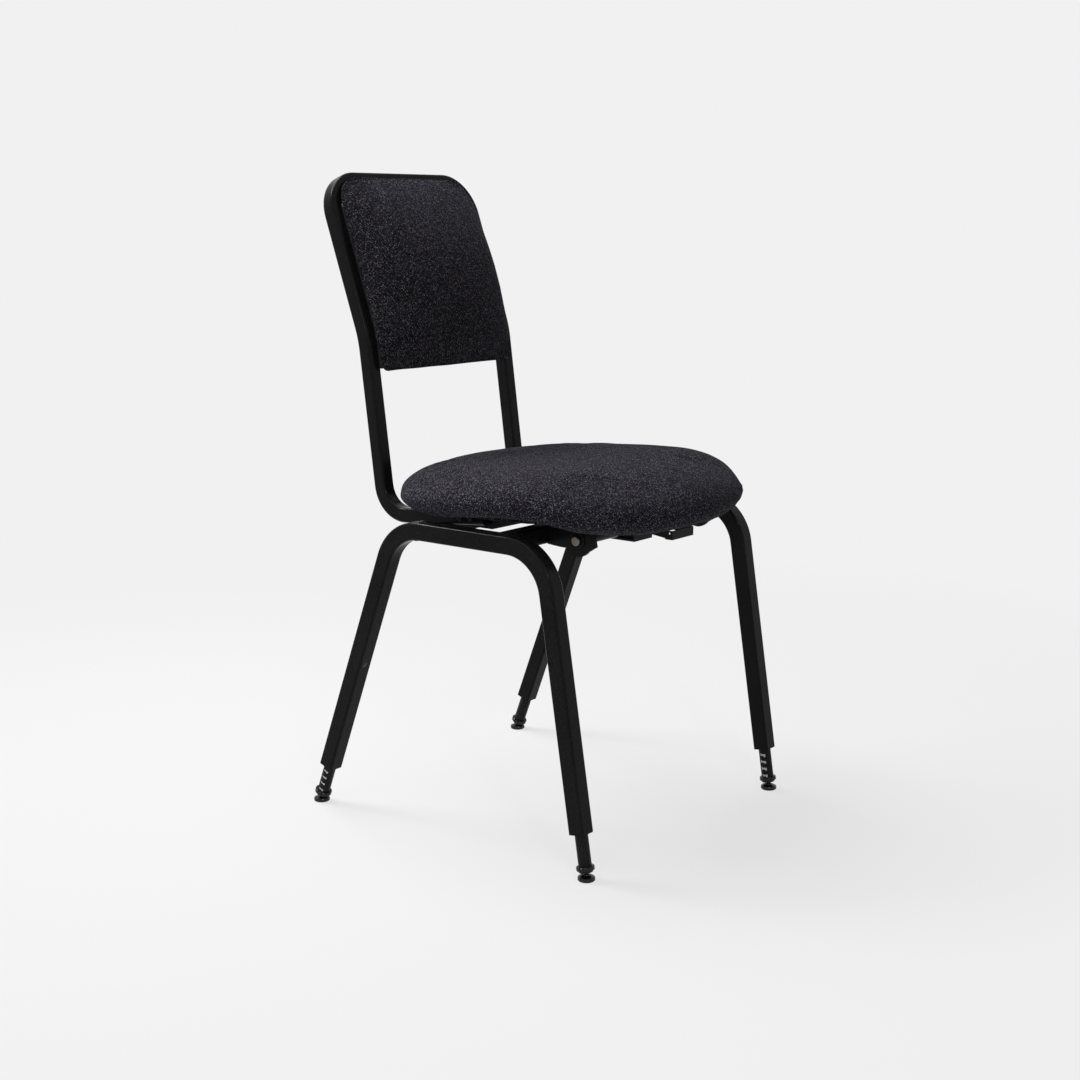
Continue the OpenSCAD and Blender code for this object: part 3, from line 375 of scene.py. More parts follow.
def turned_steel():
    """Plated steel with fine turning marks round the X axis and a dull bloom."""
    finish = Finish("turned_steel")
    at = finish.place()
    stretched = finish.node(
        "ShaderNodeMapping", None, {"Vector": at, "Scale": (6.0, 1.0, 1.0)}
    )
    marks = finish.noise(500, 3, 0.6, at=stretched)
    bloom = finish.noise(160, 3, 0.5, at=at)
    colour = finish.blend(bloom, (0.125, 0.105, 0.085, 1.0), (0.26, 0.225, 0.185, 1.0))
    return finish.surface(
        Base_Color=colour,
        Metallic=1.0,
        Roughness=0.24 + bloom * 0.2 + marks * 0.08,
        Normal=finish.bump(marks, 0.00008, 0.5),
    )


def blackened_steel():
    """Black oxide on the heads of the arm bolts, rubbed bright in places."""
    finish = Finish("blackened_steel")
    at = finish.place()
    rubbed = finish.noise(420, 3, 0.6, at=at)
    bright = finish.mask(rubbed, 0.5, 0.8)
    colour = finish.blend(bright, grey(0.012), grey(0.07))
    return finish.surface(
        Base_Color=colour,
        Metallic=1.0,
        Roughness=0.3 + rubbed * 0.2,
        Normal=finish.bump(rubbed, 0.00006, 0.4),
    )


def plywood():
    """Birch ply: faces with long grain, veneers in thin layers on the edge."""
    finish = Finish("plywood")
    at = finish.place()
    along = finish.node(
        "ShaderNodeMapping", None, {"Vector": at, "Scale": (3.0, 40.0, 40.0)}
    )
    grain = finish.noise(12, 6, 0.65, at=along)
    height = finish.axis(at, "Z")
    layer = (height * (math.pi / VENEER)).sine().magnitude()
    face = finish.ramp(
        grain, [(0.3, (0.36, 0.23, 0.12, 1)), (0.7, (0.56, 0.4, 0.24, 1))]
    )
    colour = finish.blend(layer * 0.35, face, (0.2, 0.12, 0.06, 1.0), "MULTIPLY")
    return finish.surface(
        Base_Color=colour,
        Roughness=0.5 + grain * 0.2,
        Normal=finish.bump(grain, 0.0003, 0.4),
    )


def back_shell():
    """Matt black shell behind the back pad, with a pebbled grain."""
    finish = Finish("back_shell")
    at = finish.place()
    pebbles = finish.node(
        "ShaderNodeTexVoronoi",
        {"feature": "SMOOTH_F1"},
        {"Vector": at, "Scale": 700, "Smoothness": 0.6},
        "Distance",
    )
    haze = finish.noise(9, 4, 0.6, at=at)
    colour = finish.blend(haze, grey(0.009), grey(0.017))
    return finish.surface(
        Base_Color=colour,
        Roughness=0.5 + haze * 0.15,
        Normal=finish.bump(pebbles, 0.00025, 0.6),
    )


def painted_shade_lining():
    """Black sheet under the seat board, whose black is painted shade over the dark
    underside: spun fibre with pressed dimples.
    """
    finish = Finish("painted_shade_lining")
    at = finish.place()
    dimples = finish.node(
        "ShaderNodeTexVoronoi", None, {"Vector": at, "Scale": 520}, "Distance"
    )
    fibres = finish.noise(900, 4, 0.7, at=at)
    # near-black colour of the sheet: painted shade under the seat board
    colour = finish.blend(fibres, grey(0.006), grey(0.022))
    return finish.surface(
        Base_Color=colour,
        Roughness=0.85 + fibres * 0.1,
        Normal=finish.bump(dimples + fibres * 0.4, 0.0002, 0.6),
    )


def tweed(settings):
    """Heathered tweed: dark yarn with pale flecks, soft clumps and diagonal ribs."""
    finish = Finish("heathered_tweed")
    at = finish.place()
    drift = finish.noise(500, 2, 0.6, at, "Color")
    wander = finish.node(
        "ShaderNodeVectorMath",
        {"operation": "MULTIPLY_ADD"},
        {0: drift, 1: (YARN_STRAY,) * 3, 2: at},
    )
    yarn = 1.0 / settings.yarn_pitch
    dyed = finish.cells(wander, yarn)
    coarse = finish.channel(dyed, "Red")
    warmth = finish.channel(dyed, "Blue")
    fine = finish.channel(finish.cells(wander, yarn * FINE_YARN), "Green")
    clumps = finish.noise(240, 3, 0.65, at=at)
    cloud = finish.noise(22, 3, 0.5, at=at)
    ribs = twill(finish, at, settings.rib_pitch)
    fleck = coarse * 0.8 + fine * 0.2
    tone = finish.ramp(
        fleck + (clumps - 0.5) * 0.2 + (ribs - 0.5) * 0.13,
        [
            (0.1, tint(settings.yarn_dark, 1.0)),
            (0.5, tint(settings.yarn_mid, 1.0)),
            (0.74, tint(settings.yarn_mid, 2.6)),
            (0.86, tint(settings.yarn_pale, 0.55)),
            (0.97, tint(settings.yarn_pale, 1.0)),
        ],
    )
    worn = finish.blend(cloud, grey(0.92), grey(1.08))
    hue = finish.blend(warmth, (0.86, 0.86, 1.2, 1.0), (1.14, 1.1, 0.96, 1.0))
    colour = finish.blend(1.0, tone, worn, "MULTIPLY")
    colour = finish.blend(1.0, colour, hue, "MULTIPLY")
    fuzz = finish.noise(1500, 3, 0.7, at=at)
    height = ribs * 0.5 + fleck * 0.6 + fuzz * 0.4 + clumps * 0.3
    return finish.surface(
        Base_Color=colour,
        Roughness=0.82 + fuzz * 0.14,
        Specular_IOR_Level=0.02,
        Sheen_Weight=0.02,
        Sheen_Roughness=0.5,
        Sheen_Tint=(0.8, 0.82, 1.0, 1.0),
        Normal=finish.bump(height, 0.0006, 0.7),
    )


def twill(finish, at, pitch):
    """Diagonal ribs on whichever pair of axes lies closest to the surface."""
    normal = finish.node("ShaderNodeTexCoord", output="Normal")
    place = [finish.axis(at, axis) for axis in "XYZ"]
    facing = [finish.axis(normal, axis).magnitude() ** RIB_FACING for axis in "XYZ"]
    turns = 2 * math.pi / pitch
    lines = [
        ((place[across] + place[along] * RIB_SLANT) * turns).sine()
        for across, along in ((1, 2), (0, 2), (0, 1))
    ]
    total = facing[0] + facing[1] + facing[2] + 0.0001
    summed = lines[0] * facing[0] + lines[1] * facing[1] + lines[2] * facing[2]
    return summed / total * 0.5 + 0.5


# ------------------------------------------------------------------- meshes


def mesh_object(name, points, faces, material, smooth=True):
    mesh = bpy.data.meshes.new(name)
    mesh.from_pydata([tuple(p) for p in points], [], faces)
    mesh.validate()
    made = bpy.data.objects.new(name, mesh)
    bpy.context.scene.collection.objects.link(made)
    if material:
        mesh.materials.append(material)
    mesh.polygons.foreach_set("use_smooth", [smooth] * len(mesh.polygons))
    mesh.update()
    return made


def around(count, start=0):
    """Angles of evenly spaced points round a ring."""
    return [(i + start) * 2 * math.pi / count for i in range(count)]


def rings_mesh(rings, closed_low=True, closed_high=True):
    """Faces that join rings of equal length, fanned shut at each end."""
    count = len(rings[0])
    points = [p for ring in rings for p in ring]
    faces = []
    for r in range(len(rings) - 1):
        for i in range(count):
            j = (i + 1) % count
            a, b = r * count + i, r * count + j
            faces.append((a, b, b + count, a + count))
    for index, wanted in ((0, closed_low), (len(rings) - 1, closed_high)):
        if wanted:
            tip = len(points)
            ring = rings[index]
            points.append(tuple(sum(p[k] for p in ring) / count for k in range(3)))
            for i in range(count):
                j = (i + 1) % count
                a, b = index * count + i, index * count + j
                faces.append((tip, b, a) if index == 0 else (tip, a, b))
    return points, faces


def apply_modifiers(made):
    graph = bpy.context.evaluated_depsgraph_get()
    mesh = bpy.data.meshes.new_from_object(made.evaluated_get(graph))
    old = made.data
    made.modifiers.clear()
    made.data = mesh
    bpy.data.meshes.remove(old)
    mesh.polygons.foreach_set("use_smooth", [True] * len(mesh.polygons))
    return made


def coordinates(made):
    values = np.empty(len(made.data.vertices) * 3)
    made.data.vertices.foreach_get("co", values)
    return values.reshape(-1, 3)


def set_coordinates(made, values):
    made.data.vertices.foreach_set("co", np.asarray(values, np.float32).ravel())
    made.data.update()


def remesh(made, voxel):
    tool = made.modifiers.new("remesh", "REMESH")
    tool.mode = "VOXEL"
    tool.voxel_size = voxel
    apply_modifiers(made)


def inflate(made, fixed, cap):
    """Cloth with air in it: the points swell from the start shape by at most cap."""
    start = coordinates(made)
    group = made.vertex_groups.new(name="fixed")
    group.add([i for i, p in enumerate(start) if fixed(p)], 1.0, "REPLACE")
    cloth = made.modifiers.new("cloth", "CLOTH")
    for key, value in CLOTH_SETTINGS.items():
        setattr(cloth.settings, key, value)
    cloth.settings.uniform_pressure_force = PRESSURE
    cloth.settings.vertex_group_mass = "fixed"
    cloth.settings.effector_weights.gravity = 0
    cloth.point_cache.frame_start = 1
    cloth.point_cache.frame_end = CLOTH_FRAMES
    scene = bpy.context.scene
    for step in range(1, CLOTH_FRAMES + 1):
        scene.frame_set(step)
    apply_modifiers(made)
    scene.frame_set(1)
    made.vertex_groups.clear()
    moved = coordinates(made) - start
    length = np.linalg.norm(moved, axis=1)
    share = np.minimum(1.0, cap / np.maximum(length, 1e-9))
    set_coordinates(made, start + moved * share[:, None])


def subdivide(made):
    tool = made.modifiers.new("subdivide", "SUBSURF")
    tool.levels = tool.render_levels = 1
    apply_modifiers(made)


def fit_to_box(made, low, high):
    """Stretches a mesh by the last few tenths so that its box is the CAD solid's."""
    at = coordinates(made)
    ends = at.min(0), at.max(0)
    low, high = np.array(low), np.array(high)
    set_coordinates(made, low + (at - ends[0]) / (ends[1] - ends[0]) * (high - low))


def settle(made, height, scale, seed):
    """Low, broad unevenness of stuffed cloth, along the surface's normals."""
    at = coordinates(made)
    normals = np.array([v.normal for v in made.data.vertices])
    lift = [noise.noise(Vector(p) * scale + Vector((seed,) * 3)) for p in at]
    set_coordinates(made, at + normals * (np.array(lift) * height)[:, None])


# ----------------------------------------------------------------- seat pad


def signed_power(value, power):
    return math.copysign(abs(value) ** power, value)


def seat_outline(angle, share, settings):
    """Place of a point of the outline, and its share of the half depth."""
    power = settings.front_curve if math.sin(angle) < 0 else settings.rear_curve
    along = share * signed_power(math.sin(angle), power)
    across = share * signed_power(math.cos(angle), power)
    width = settings.half_width * across * (1 - settings.taper * along)
    return width, SEAT_MIDDLE_Y + SEAT_HALF_DEPTH * along, along


def smooth(share):
    share = max(0.0, min(1.0, share))
    return share * share * (3 - 2 * share)


def side_arch(along, settings):
    """Share by which the belly is drawn up along the sides."""
    from_rear = smooth((settings.arch_rear - along) / settings.arch_rise)
    from_front = smooth((along - settings.arch_front) / settings.arch_fall)
    return settings.side_arch * from_rear * from_front


def seat_bend(along, settings):
    """Height of the pad's middle surface: it droops in front and lifts at the rear."""
    droop = max(-along - settings.bend_start, 0) ** 2 * settings.front_droop
    lift = max(along - settings.bend_start, 0) ** 2 * settings.rear_lift
    return lift - droop - math.tan(settings.slope) * SEAT_HALF_DEPTH * along


def seat_ring(share, depth, settings):
    ring = []
    for angle in around(PAD_POINTS):
        x, y, along = seat_outline(angle, share, settings)
        rise = depth * math.sqrt(max(0.0, 1 - share**settings.edge_power))
        if depth < 0:
            rise *= 1 - side_arch(along, settings)
        ring.append((x, y, settings.middle_height + rise + seat_bend(along, settings)))
    return ring


def seat_pad_mesh(settings):
    """Rings over the crown, round the edge and in to the top of the board."""
    over = [math.sin(math.radians(a)) ** 0.8 for a in range(4, 91, 4)]
    under = [0.995, 0.98, 0.955, 0.93, 0.9, settings.board_share]
    rings = [seat_ring(share, settings.crown, settings) for share in over]
    rings += [seat_ring(share, -settings.belly, settings) for share in under]
    rings.append([(x, y, BOARD_HIGH.z) for x, y, z in rings[-1]])
    return rings_mesh(rings)


def hem_mesh(settings):
    """The cloth drawn round the edge of the board and gathered underneath it."""
    profile = (
        # past the board as a share, rise in mm, share of the gathers
        (0.006, 10.0, 0.0),
        (0.006, 3.0, 0.0),
        (0.004, 0.3, 0.1),
        (-0.008, -0.9, 0.35),
        (-0.05, -1.0, 1.0),
        (-0.1, -0.9, 1.0),
        (-0.125, -0.75, 0.8),
        (-0.128, -0.15, 0.3),
        (-0.1, 0.3, 0.0),
    )
    rings = []
    for past, rise, gather in profile:
        ring = []
        for angle in around(HEM_POINTS):
            x, y, _ = seat_outline(angle, settings.board_share + past, settings)
            bend = abs(math.sin(2 * angle)) ** 1.5
            pleat = math.sin(angle * 74 + 2 * math.sin(angle * 5)) * gather * bend
            ring.append((x, y, BOARD_LOW.z + (rise - 0.45 * max(pleat, -0.6)) * MM))
        rings.append(ring)
    return rings_mesh(rings, False, False)


def painted_shade_lining_mesh(settings):
    """Black sheet of painted shade inside the hem, a little slack between its staples."""
    rings = []
    for share in (0.02, 0.2, 0.4, 0.55, 0.66, 0.72, settings.board_share - 0.105):
        ring = []
        for angle in around(PAD_POINTS):
            x, y, _ = seat_outline(angle, share, settings)
            slack = noise.noise(Vector((x, y, 3.0)) * 34) * 0.25
            ring.append((x, y, BOARD_LOW.z - (0.35 + slack * (share < 0.7)) * MM))
        rings.append(ring)
    return rings_mesh(rings, True, False)


def staple_mesh(settings):
    """Staples round the hem: a flat crown with two legs bent into the board."""
    # middle line of a staple, then its section, both in mm
    route = [(-4.6, 1.2), (-4.6, 0.2), (-4.0, 0), (4.0, 0), (4.6, 0.2), (4.6, 1.2)]
    section = ((-0.5, 0.0), (0.5, 0.0), (0.5, -0.45), (-0.5, -0.45))
    share = settings.board_share - 0.11
    points, faces = [], []
    for angle in around(STAPLES, 0.5):
        x, y, _ = seat_outline(angle, share, settings)
        x2, y2, _ = seat_outline(angle + 0.01, share, settings)
        along = Vector((x2 - x, y2 - y, 0)).normalized()
        out = Vector((-along.y, along.x, 0))
        middle = Vector((x, y, BOARD_LOW.z - 1.35 * MM))
        first = len(points)
        for reach, rise in route:
            for side, thick in section:
                spot = along * reach * MM + out * side * MM
                points.append(middle + spot + Vector((0, 0, (rise + thick) * MM)))
        for k in range(len(route) - 1):
            for c in range(4):
                a, b = first + 4 * k + c, first + 4 * k + (c + 1) % 4
                faces.append((a, b, b + 4, a + 4))
        last = first + 4 * (len(route) - 1)
        faces.append((first + 3, first + 2, first + 1, first))
        faces.append((last, last + 1, last + 2, last + 3))
    return points, faces


# ----------------------------------------------------------------- back pad


def mix(a, b, share):
    return a + (b - a) * share


def corner_cut(radius, gap):
    """How far a rounded corner stands in from the side, a gap below its end."""
    if gap >= radius:
        return 0.0
    return radius - math.sqrt(max(0.0, radius**2 - (radius - gap) ** 2))


def back_half(s, settings, top_corner):
    """Half the width of the pad at height s."""
    return (
        settings.half_width
        - corner_cut(top_corner, settings.high - s)
        - corner_cut(settings.low_corner, s - settings.low)
    )


def back_lean(s, settings):
    share = (s + settings.bend_half) / (2 * settings.bend_half)
    return mix(settings.lower_lean, settings.upper_lean, max(0.0, min(1.0, share)))


def on_back(x, s, depth, settings):
    """A point at height s from the kink, and depth in front of the uprights' middle."""
    lean = settings.lower_lean if s < 0 else settings.upper_lean
    y = settings.kink_y + s * math.sin(lean)
    z = settings.kink_z + s * math.cos(lean)
    turn = back_lean(s, settings)
    return x, y - depth * math.cos(turn), z + depth * math.sin(turn)


def back_rows(settings):
    """Heights of the rows of points, closer together round the corners."""
    span = settings.high - settings.low
    even = [settings.low + span * i / BACK_ROWS for i in range(BACK_ROWS + 1)]
    top = settings.high - settings.top_corner
    corner = [
        settings.high - settings.top_corner * (1 - math.sin(math.radians(a)))
        for a in range(6, 91, 6)
    ]
    low = [settings.low + settings.low_corner * k for k in (0, 0.08, 0.3, 0.65)]
    middle = [s for s in even if settings.low + settings.low_corner < s <= top]
    return low + middle + corner


def back_pad_mesh(settings):
    """Front and rear sheets with a rolled edge between them, as one closed skin."""
    columns = BACK_COLUMNS
    rows = back_rows(settings)
    peak = mix(settings.low, settings.high, settings.peak_share)
    sheets = []
    for front in (True, False):
        sheet = []
        corner = settings.top_corner if front else settings.rear_corner
        for s in rows:
            half = back_half(s, settings, corner)
            reach = (settings.high if s > peak else settings.low) - peak
            swell = (settings.depth - settings.edge) * (1 - ((s - peak) / reach) ** 2)
            for c in range(columns):
                across = math.sin(math.radians(180 * c / (columns - 1) - 90))
                depth = settings.face_gap
                if front:
                    flat = 1 - min(1.0, abs(across)) ** settings.cross_power
                    depth += settings.edge + swell * flat**settings.cross_round
                sheet.append(on_back(across * half, s, depth, settings))
        sheets.append(sheet)
    points = sheets[0] + sheets[1]
    side = len(sheets[0])
    faces = []
    for r in range(len(rows) - 1):
        for c in range(columns - 1):
            a = r * columns + c
            faces.append((a, a + columns, a + columns + 1, a + 1))
            b = side + a
            faces.append((b, b + 1, b + columns + 1, b + columns))
        left, right = r * columns, r * columns + columns - 1
        faces.append((left, side + left, side + left + columns, left + columns))
        faces.append((right, right + columns, side + right + columns, side + right))
    for c in range(columns - 1):
        top = (len(rows) - 1) * columns + c
        faces.append((c, c + 1, side + c + 1, side + c))
        faces.append((top, side + top, side + top + 1, top + 1))
    return points, faces


# ------------------------------------------------------------------ settings


class SeatPadSettings(bpy.types.PropertyGroup):
    """Sizes of the seat pad."""

    half_width: bpy.props.FloatProperty(
        name="Half width",
        description="Half the width of the seat pad",
        default=0.2246,
        unit="LENGTH",
    )
    middle_height: bpy.props.FloatProperty(
        name="Middle height",
        description="Height of the widest line of the pad",
        default=0.4311,
        unit="LENGTH",
    )
    crown: bpy.props.FloatProperty(
        name="Crown",
        description="Rise of the pad above its widest line",
        default=0.0345,
        unit="LENGTH",
    )
    belly: bpy.props.FloatProperty(
        name="Belly",
        description="Depth of the pad below its widest line",
        default=0.0343,
        unit="LENGTH",
    )
    front_droop: bpy.props.FloatProperty(
        name="Front droop",
        description="How far the front edge rolls down",
        default=0.045,
        unit="LENGTH",
    )
    rear_lift: bpy.props.FloatProperty(
        name="Rear lift",
        description="How far the rear edge lifts",
        default=0.0084,
        unit="LENGTH",
    )
    slope: bpy.props.FloatProperty(
        name="Slope",
        description="Slope of the seat towards the back",
        default=math.radians(1.81),
        unit="ROTATION",
    )
    front_curve: bpy.props.FloatProperty(
        name="Front curve",
        description="Squareness of the front half of the outline",
        default=0.86,
    )
    rear_curve: bpy.props.FloatProperty(
        name="Rear curve",
        description="Squareness of the rear half of the outline",
        default=0.72,
    )
    taper: bpy.props.FloatProperty(
        name="Taper",
        description="Share by which the pad narrows towards the back",
        default=0.05,
    )
    bend_start: bpy.props.FloatProperty(
        name="Bend start",
        description="Share of the half depth at which the pad starts to bend",
        default=0.2,
    )
    edge_power: bpy.props.FloatProperty(
        name="Edge power",
        description="How late the pad curves over at its edge",
        default=5.0,
    )
    side_arch: bpy.props.FloatProperty(
        name="Side arch",
        description="Share by which the belly is drawn up along the sides",
        default=0.38,
        subtype="FACTOR",
    )
    arch_rear: bpy.props.FloatProperty(
        name="Arch rear end",
        description="Share of the half depth at which the side starts to draw up",
        default=0.42,
    )
    arch_rise: bpy.props.FloatProperty(
        name="Arch rise",
        description="Share of the half depth over which the side draws up",
        default=0.6,
    )
    arch_front: bpy.props.FloatProperty(
        name="Arch front end",
        description="Share of the half depth at which the side hangs down again",
        default=-0.68,
    )
    arch_fall: bpy.props.FloatProperty(
        name="Arch fall",
        description="Share of the half depth over which the side hangs down again",
        default=0.2,
    )
    board_share: bpy.props.FloatProperty(
        name="Board share",
        description="Size of the board as a share of the pad's outline",
        default=0.86,
    )


class BackPadSettings(bpy.types.PropertyGroup):
    """Sizes of the back pad, measured up the uprights from their kink."""

    half_width: bpy.props.FloatProperty(
        name="Half width",
        description="Half the width of the back pad",
        default=0.1314,
        unit="LENGTH",
    )
    low: bpy.props.FloatProperty(
        name="Low edge",
        description="Bottom edge, up the uprights from the kink",
        default=-0.0443 / math.cos(LOWER_LEAN),
        unit="LENGTH",
    )
    high: bpy.props.FloatProperty(
        name="High edge",
        description="Top edge, up the uprights from the kink",
        default=0.2108 / math.cos(UPPER_LEAN) - 0.0121,
        unit="LENGTH",
    )
    kink_y: bpy.props.FloatProperty(
        name="Kink depth",
        description="Place of the kink from front to back",
        default=0.171672,
        unit="LENGTH",
    )
    kink_z: bpy.props.FloatProperty(
        name="Kink height",
        description="Height of the kink above the floor",
        default=0.6117,
        unit="LENGTH",
    )
    lower_lean: bpy.props.FloatProperty(
        name="Lower lean",
        description="Lean of the uprights below the kink",
        default=LOWER_LEAN,
        unit="ROTATION",
    )
    upper_lean: bpy.props.FloatProperty(
        name="Upper lean",
        description="Lean of the uprights above the kink",
        default=UPPER_LEAN,
        unit="ROTATION",
    )
    bend_half: bpy.props.FloatProperty(
        name="Bend half length",
        description="Half the length over which the pad bends at the kink",
        default=0.015634,
        unit="LENGTH",
    )
    face_gap: bpy.props.FloatProperty(
        name="Face gap",
        description="Back of the pad in front of the uprights' middle line",
        default=0.01355,
        unit="LENGTH",
    )
    depth: bpy.props.FloatProperty(
        name="Depth",
        description="Thickness of the pad in the middle",
        default=0.0473,
        unit="LENGTH",
    )
    edge: bpy.props.FloatProperty(
        name="Edge",
        description="Thickness of the pad along its edge",
        default=0.0016,
        unit="LENGTH",
    )
    top_corner: bpy.props.FloatProperty(
        name="Top corner",
        description="Radius of the upper corners",
        default=0.0474,
        unit="LENGTH",
    )
    rear_corner: bpy.props.FloatProperty(
        name="Rear corner",
        description="Radius of the upper corners where the cloth turns over the panel",
        default=0.038,
        unit="LENGTH",
    )
    low_corner: bpy.props.FloatProperty(
        name="Low corner",
        description="Radius of the lower corners",
        default=0.0117,
        unit="LENGTH",
    )
    peak_share: bpy.props.FloatProperty(
        name="Peak",
        description="Share of the pad's height at which it is thickest",
        default=0.48,
        subtype="FACTOR",
    )
    cross_power: bpy.props.FloatProperty(
        name="Cross power",
        description="How late the pad curves over at its sides",
        default=2.94,
    )
    cross_round: bpy.props.FloatProperty(
        name="Cross roundness",
        description="How full the pad stays as it curves over at its sides",
        default=0.7,
    )


class FinishSettings(bpy.types.PropertyGroup):
    """Colours and scales of the materials."""

    coat_colour: bpy.props.FloatVectorProperty(
        name="Coat colour",
        description="Powder coat of the tubes and plates",
        subtype="COLOR",
        default=(0.0068, 0.0062, 0.0063),
    )
    coat_roughness: bpy.props.FloatProperty(
        name="Coat roughness",
        description="Roughness of the powder coat",
        default=0.2,
        subtype="FACTOR",
    )
    dust_colour: bpy.props.FloatVectorProperty(
        name="Dust colour",
        description="Specks of dust on the coat",
        subtype="COLOR",
        default=(0.09, 0.085, 0.08),
    )
    yarn_dark: bpy.props.FloatVectorProperty(
        name="Dark yarn",
        description="Darkest yarn of the tweed",
        subtype="COLOR",
        default=(0.0028, 0.0026, 0.0031),
    )
    yarn_mid: bpy.props.FloatVectorProperty(
        name="Middle yarn",
        description="Middle yarn of the tweed",
        subtype="COLOR",
        default=(0.0112, 0.0108, 0.012),
    )
    yarn_pale: bpy.props.FloatVectorProperty(
        name="Pale yarn",
        description="Pale flecks of the tweed",
        subtype="COLOR",
        default=(0.195, 0.190, 0.212),
    )
    yarn_pitch: bpy.props.FloatProperty(
        name="Yarn pitch",
        description="Distance between two flecks",
        default=0.00098,
        unit="LENGTH",
    )
    rib_pitch: bpy.props.FloatProperty(
        name="Rib pitch",
        description="Distance between two diagonal ribs",
        default=0.0036,
        unit="LENGTH",
    )


class StageSettings(bpy.types.PropertyGroup):
    """Camera, lamps and floor."""

    camera_place: bpy.props.FloatVectorProperty(
        name="Camera place",
        description="Where the camera stands",
        subtype="TRANSLATION",
        unit="LENGTH",
        default=(-1.69385, -1.35826, 0.76617),
    )
    azimuth: bpy.props.FloatProperty(
        name="Azimuth",
        description="Direction of the camera round the chair",
        default=math.radians(-51.40),
        unit="ROTATION",
    )
    elevation: bpy.props.FloatProperty(
        name="Elevation",
        description="Height of the camera above the horizon",
        default=math.radians(10.923),
        unit="ROTATION",
    )
    lens: bpy.props.FloatProperty(
        name="Lens",
        description="Focal length for a sensor 36 mm wide",
        default=55.94,
        subtype="DISTANCE_CAMERA",
    )
    backdrop: bpy.props.FloatProperty(
        name="Backdrop",
        description="Level of the pale background",
        default=0.879,
        subtype="FACTOR",
    )
    fill: bpy.props.FloatProperty(
        name="Fill",
        description="Strength of the even light from all round",
        default=0.11,
    )


# ----------------------------------------------------------------- operators


class CHAIR_OT_coat(bpy.types.Operator):
    """Powder coat on the tubes, crossbars, plates and lever"""

    bl_idname = "chair.coat"
    bl_label = "Coat the Frame"

    def execute(self, context):
        paint(COATED_NODES, powder_coat(context.scene.chair_finish))
        return {"FINISHED"}


class CHAIR_OT_steel(bpy.types.Operator):
    """Bright steel on the rod, its caps, the pin and the screws, black on the bolts"""

    bl_idname = "chair.steel"
    bl_label = "Finish the Fixings"

    def execute(self, context):
        paint(STEEL_NODES, turned_steel())
        paint(["arm_bolts"], blackened_steel())
        return {"FINISHED"}


class CHAIR_OT_feet(bpy.types.Operator):
    """Coat, plastic and liner of the four feet and their sleeves"""

    bl_idname = "chair.feet"
    bl_label = "Finish the Feet"

    def execute(self, context):
        coat = foot_coat(context.scene.chair_finish)
        plastic = moulded_plastic()
        liner = white_liner()
        for corner in CORNERS:
            paint([f"foot_tube_{corner}"], coat)
            paint([f"foot_liner_{corner}"], liner)
            for part in ("foot_collar", "foot_base", "leg_sleeve"):
                paint([f"{part}_{corner}"], plastic)
        paint(["pivot_spacers"], plastic)
        return {"FINISHED"}


class CHAIR_OT_backing(bpy.types.Operator):
    """Shell behind the back pad, plywood under the seat pad and the rubber buffers"""

    bl_idname = "chair.backing"
    bl_label = "Finish the Boards"

    def execute(self, context):
        paint(["back_board"], back_shell())
        paint(["seat_board"], plywood())
        paint(["stop_buffers"], soft_rubber())
        return {"FINISHED"}


class CHAIR_OT_seat_pad(bpy.types.Operator):
    """Seat pad: a crowned form that is filled with air as cloth and settled"""

    bl_idname = "chair.seat_pad"
    bl_label = "Build the Seat Pad"

    def execute(self, context):
        settings = context.scene.chair_seat
        points, faces = seat_pad_mesh(settings)
        cloth = find_material("heathered_tweed", tweed, context.scene.chair_finish)
        pad = mesh_object("seat_pad", points, faces, cloth)
        remesh(pad, SEAT_VOXEL)
        inflate(pad, lambda p: on_board(p, settings), SEAT_SWELL)
        subdivide(pad)
        settle(pad, height=0.0009, scale=21.0, seed=3.0)
        fit_to_box(pad, SEAT_LOW, SEAT_HIGH)
        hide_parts("seat_cushion")
        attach(pad, "seat")
        return {"FINISHED"}


def on_board(point, settings):
    """True where a point lies on the board, well inside its outline."""
    across = abs(point[0]) / settings.half_width
    along = abs(point[1] - SEAT_MIDDLE_Y) / SEAT_HALF_DEPTH
    inside = max(across, along) < settings.board_share - 0.03
    return inside and point[2] < BOARD_HIGH.z + 0.5 * MM


class CHAIR_OT_seat_underside(bpy.types.Operator):
    """Gathered hem, a black sheet of painted shade and staples under the seat board"""

    bl_idname = "chair.seat_underside"
    bl_label = "Build the Underside"

    def execute(self, context):
        settings = context.scene.chair_seat
        cloth = find_material("heathered_tweed", tweed, context.scene.chair_finish)
        hem = mesh_object("seat_hem", *hem_mesh(settings), cloth)
        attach(hem, "seat")
        # the black sheet paints the shade under the seat over the plywood
        lining = mesh_object("seat_painted_shade_lining", *painted_shade_lining_mesh(settings), painted_shade_lining())
        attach(lining, "seat")
        steel = find_material("turned_steel", turned_steel)
        staples = mesh_object("seat_staples", *staple_mesh(settings), steel, False)
        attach(staples, "seat")
        return {"FINISHED"}


class CHAIR_OT_back_pad(bpy.types.Operator):
    """Back pad: a sheet domed over foam and drawn tight round its panel"""

    bl_idname = "chair.back_pad"
    bl_label = "Build the Back Pad"

    def execute(self, context):
        settings = context.scene.chair_back
        cloth = find_material("heathered_tweed", tweed, context.scene.chair_finish)
        pad = mesh_object("back_pad", *back_pad_mesh(settings), cloth)
        rear = settings.face_gap + 0.6 * settings.edge
        inflate(pad, lambda p: depth_of(p, settings) < rear, BACK_SWELL)
        subdivide(pad)
        settle(pad, height=0.0007, scale=23.0, seed=8.0)
        fit_to_box(pad, BACK_LOW, BACK_HIGH)
        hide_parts("back_cushion")
        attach(pad, "seat")
        return {"FINISHED"}


def depth_of(point, settings):
    """How far a point stands in front of the uprights' middle line."""
    back = settings.kink_y - point[1]
    up = point[2] - settings.kink_z
    lean = settings.lower_lean if up < 0 else settings.upper_lean
    return back * math.cos(lean) + up * math.sin(lean)


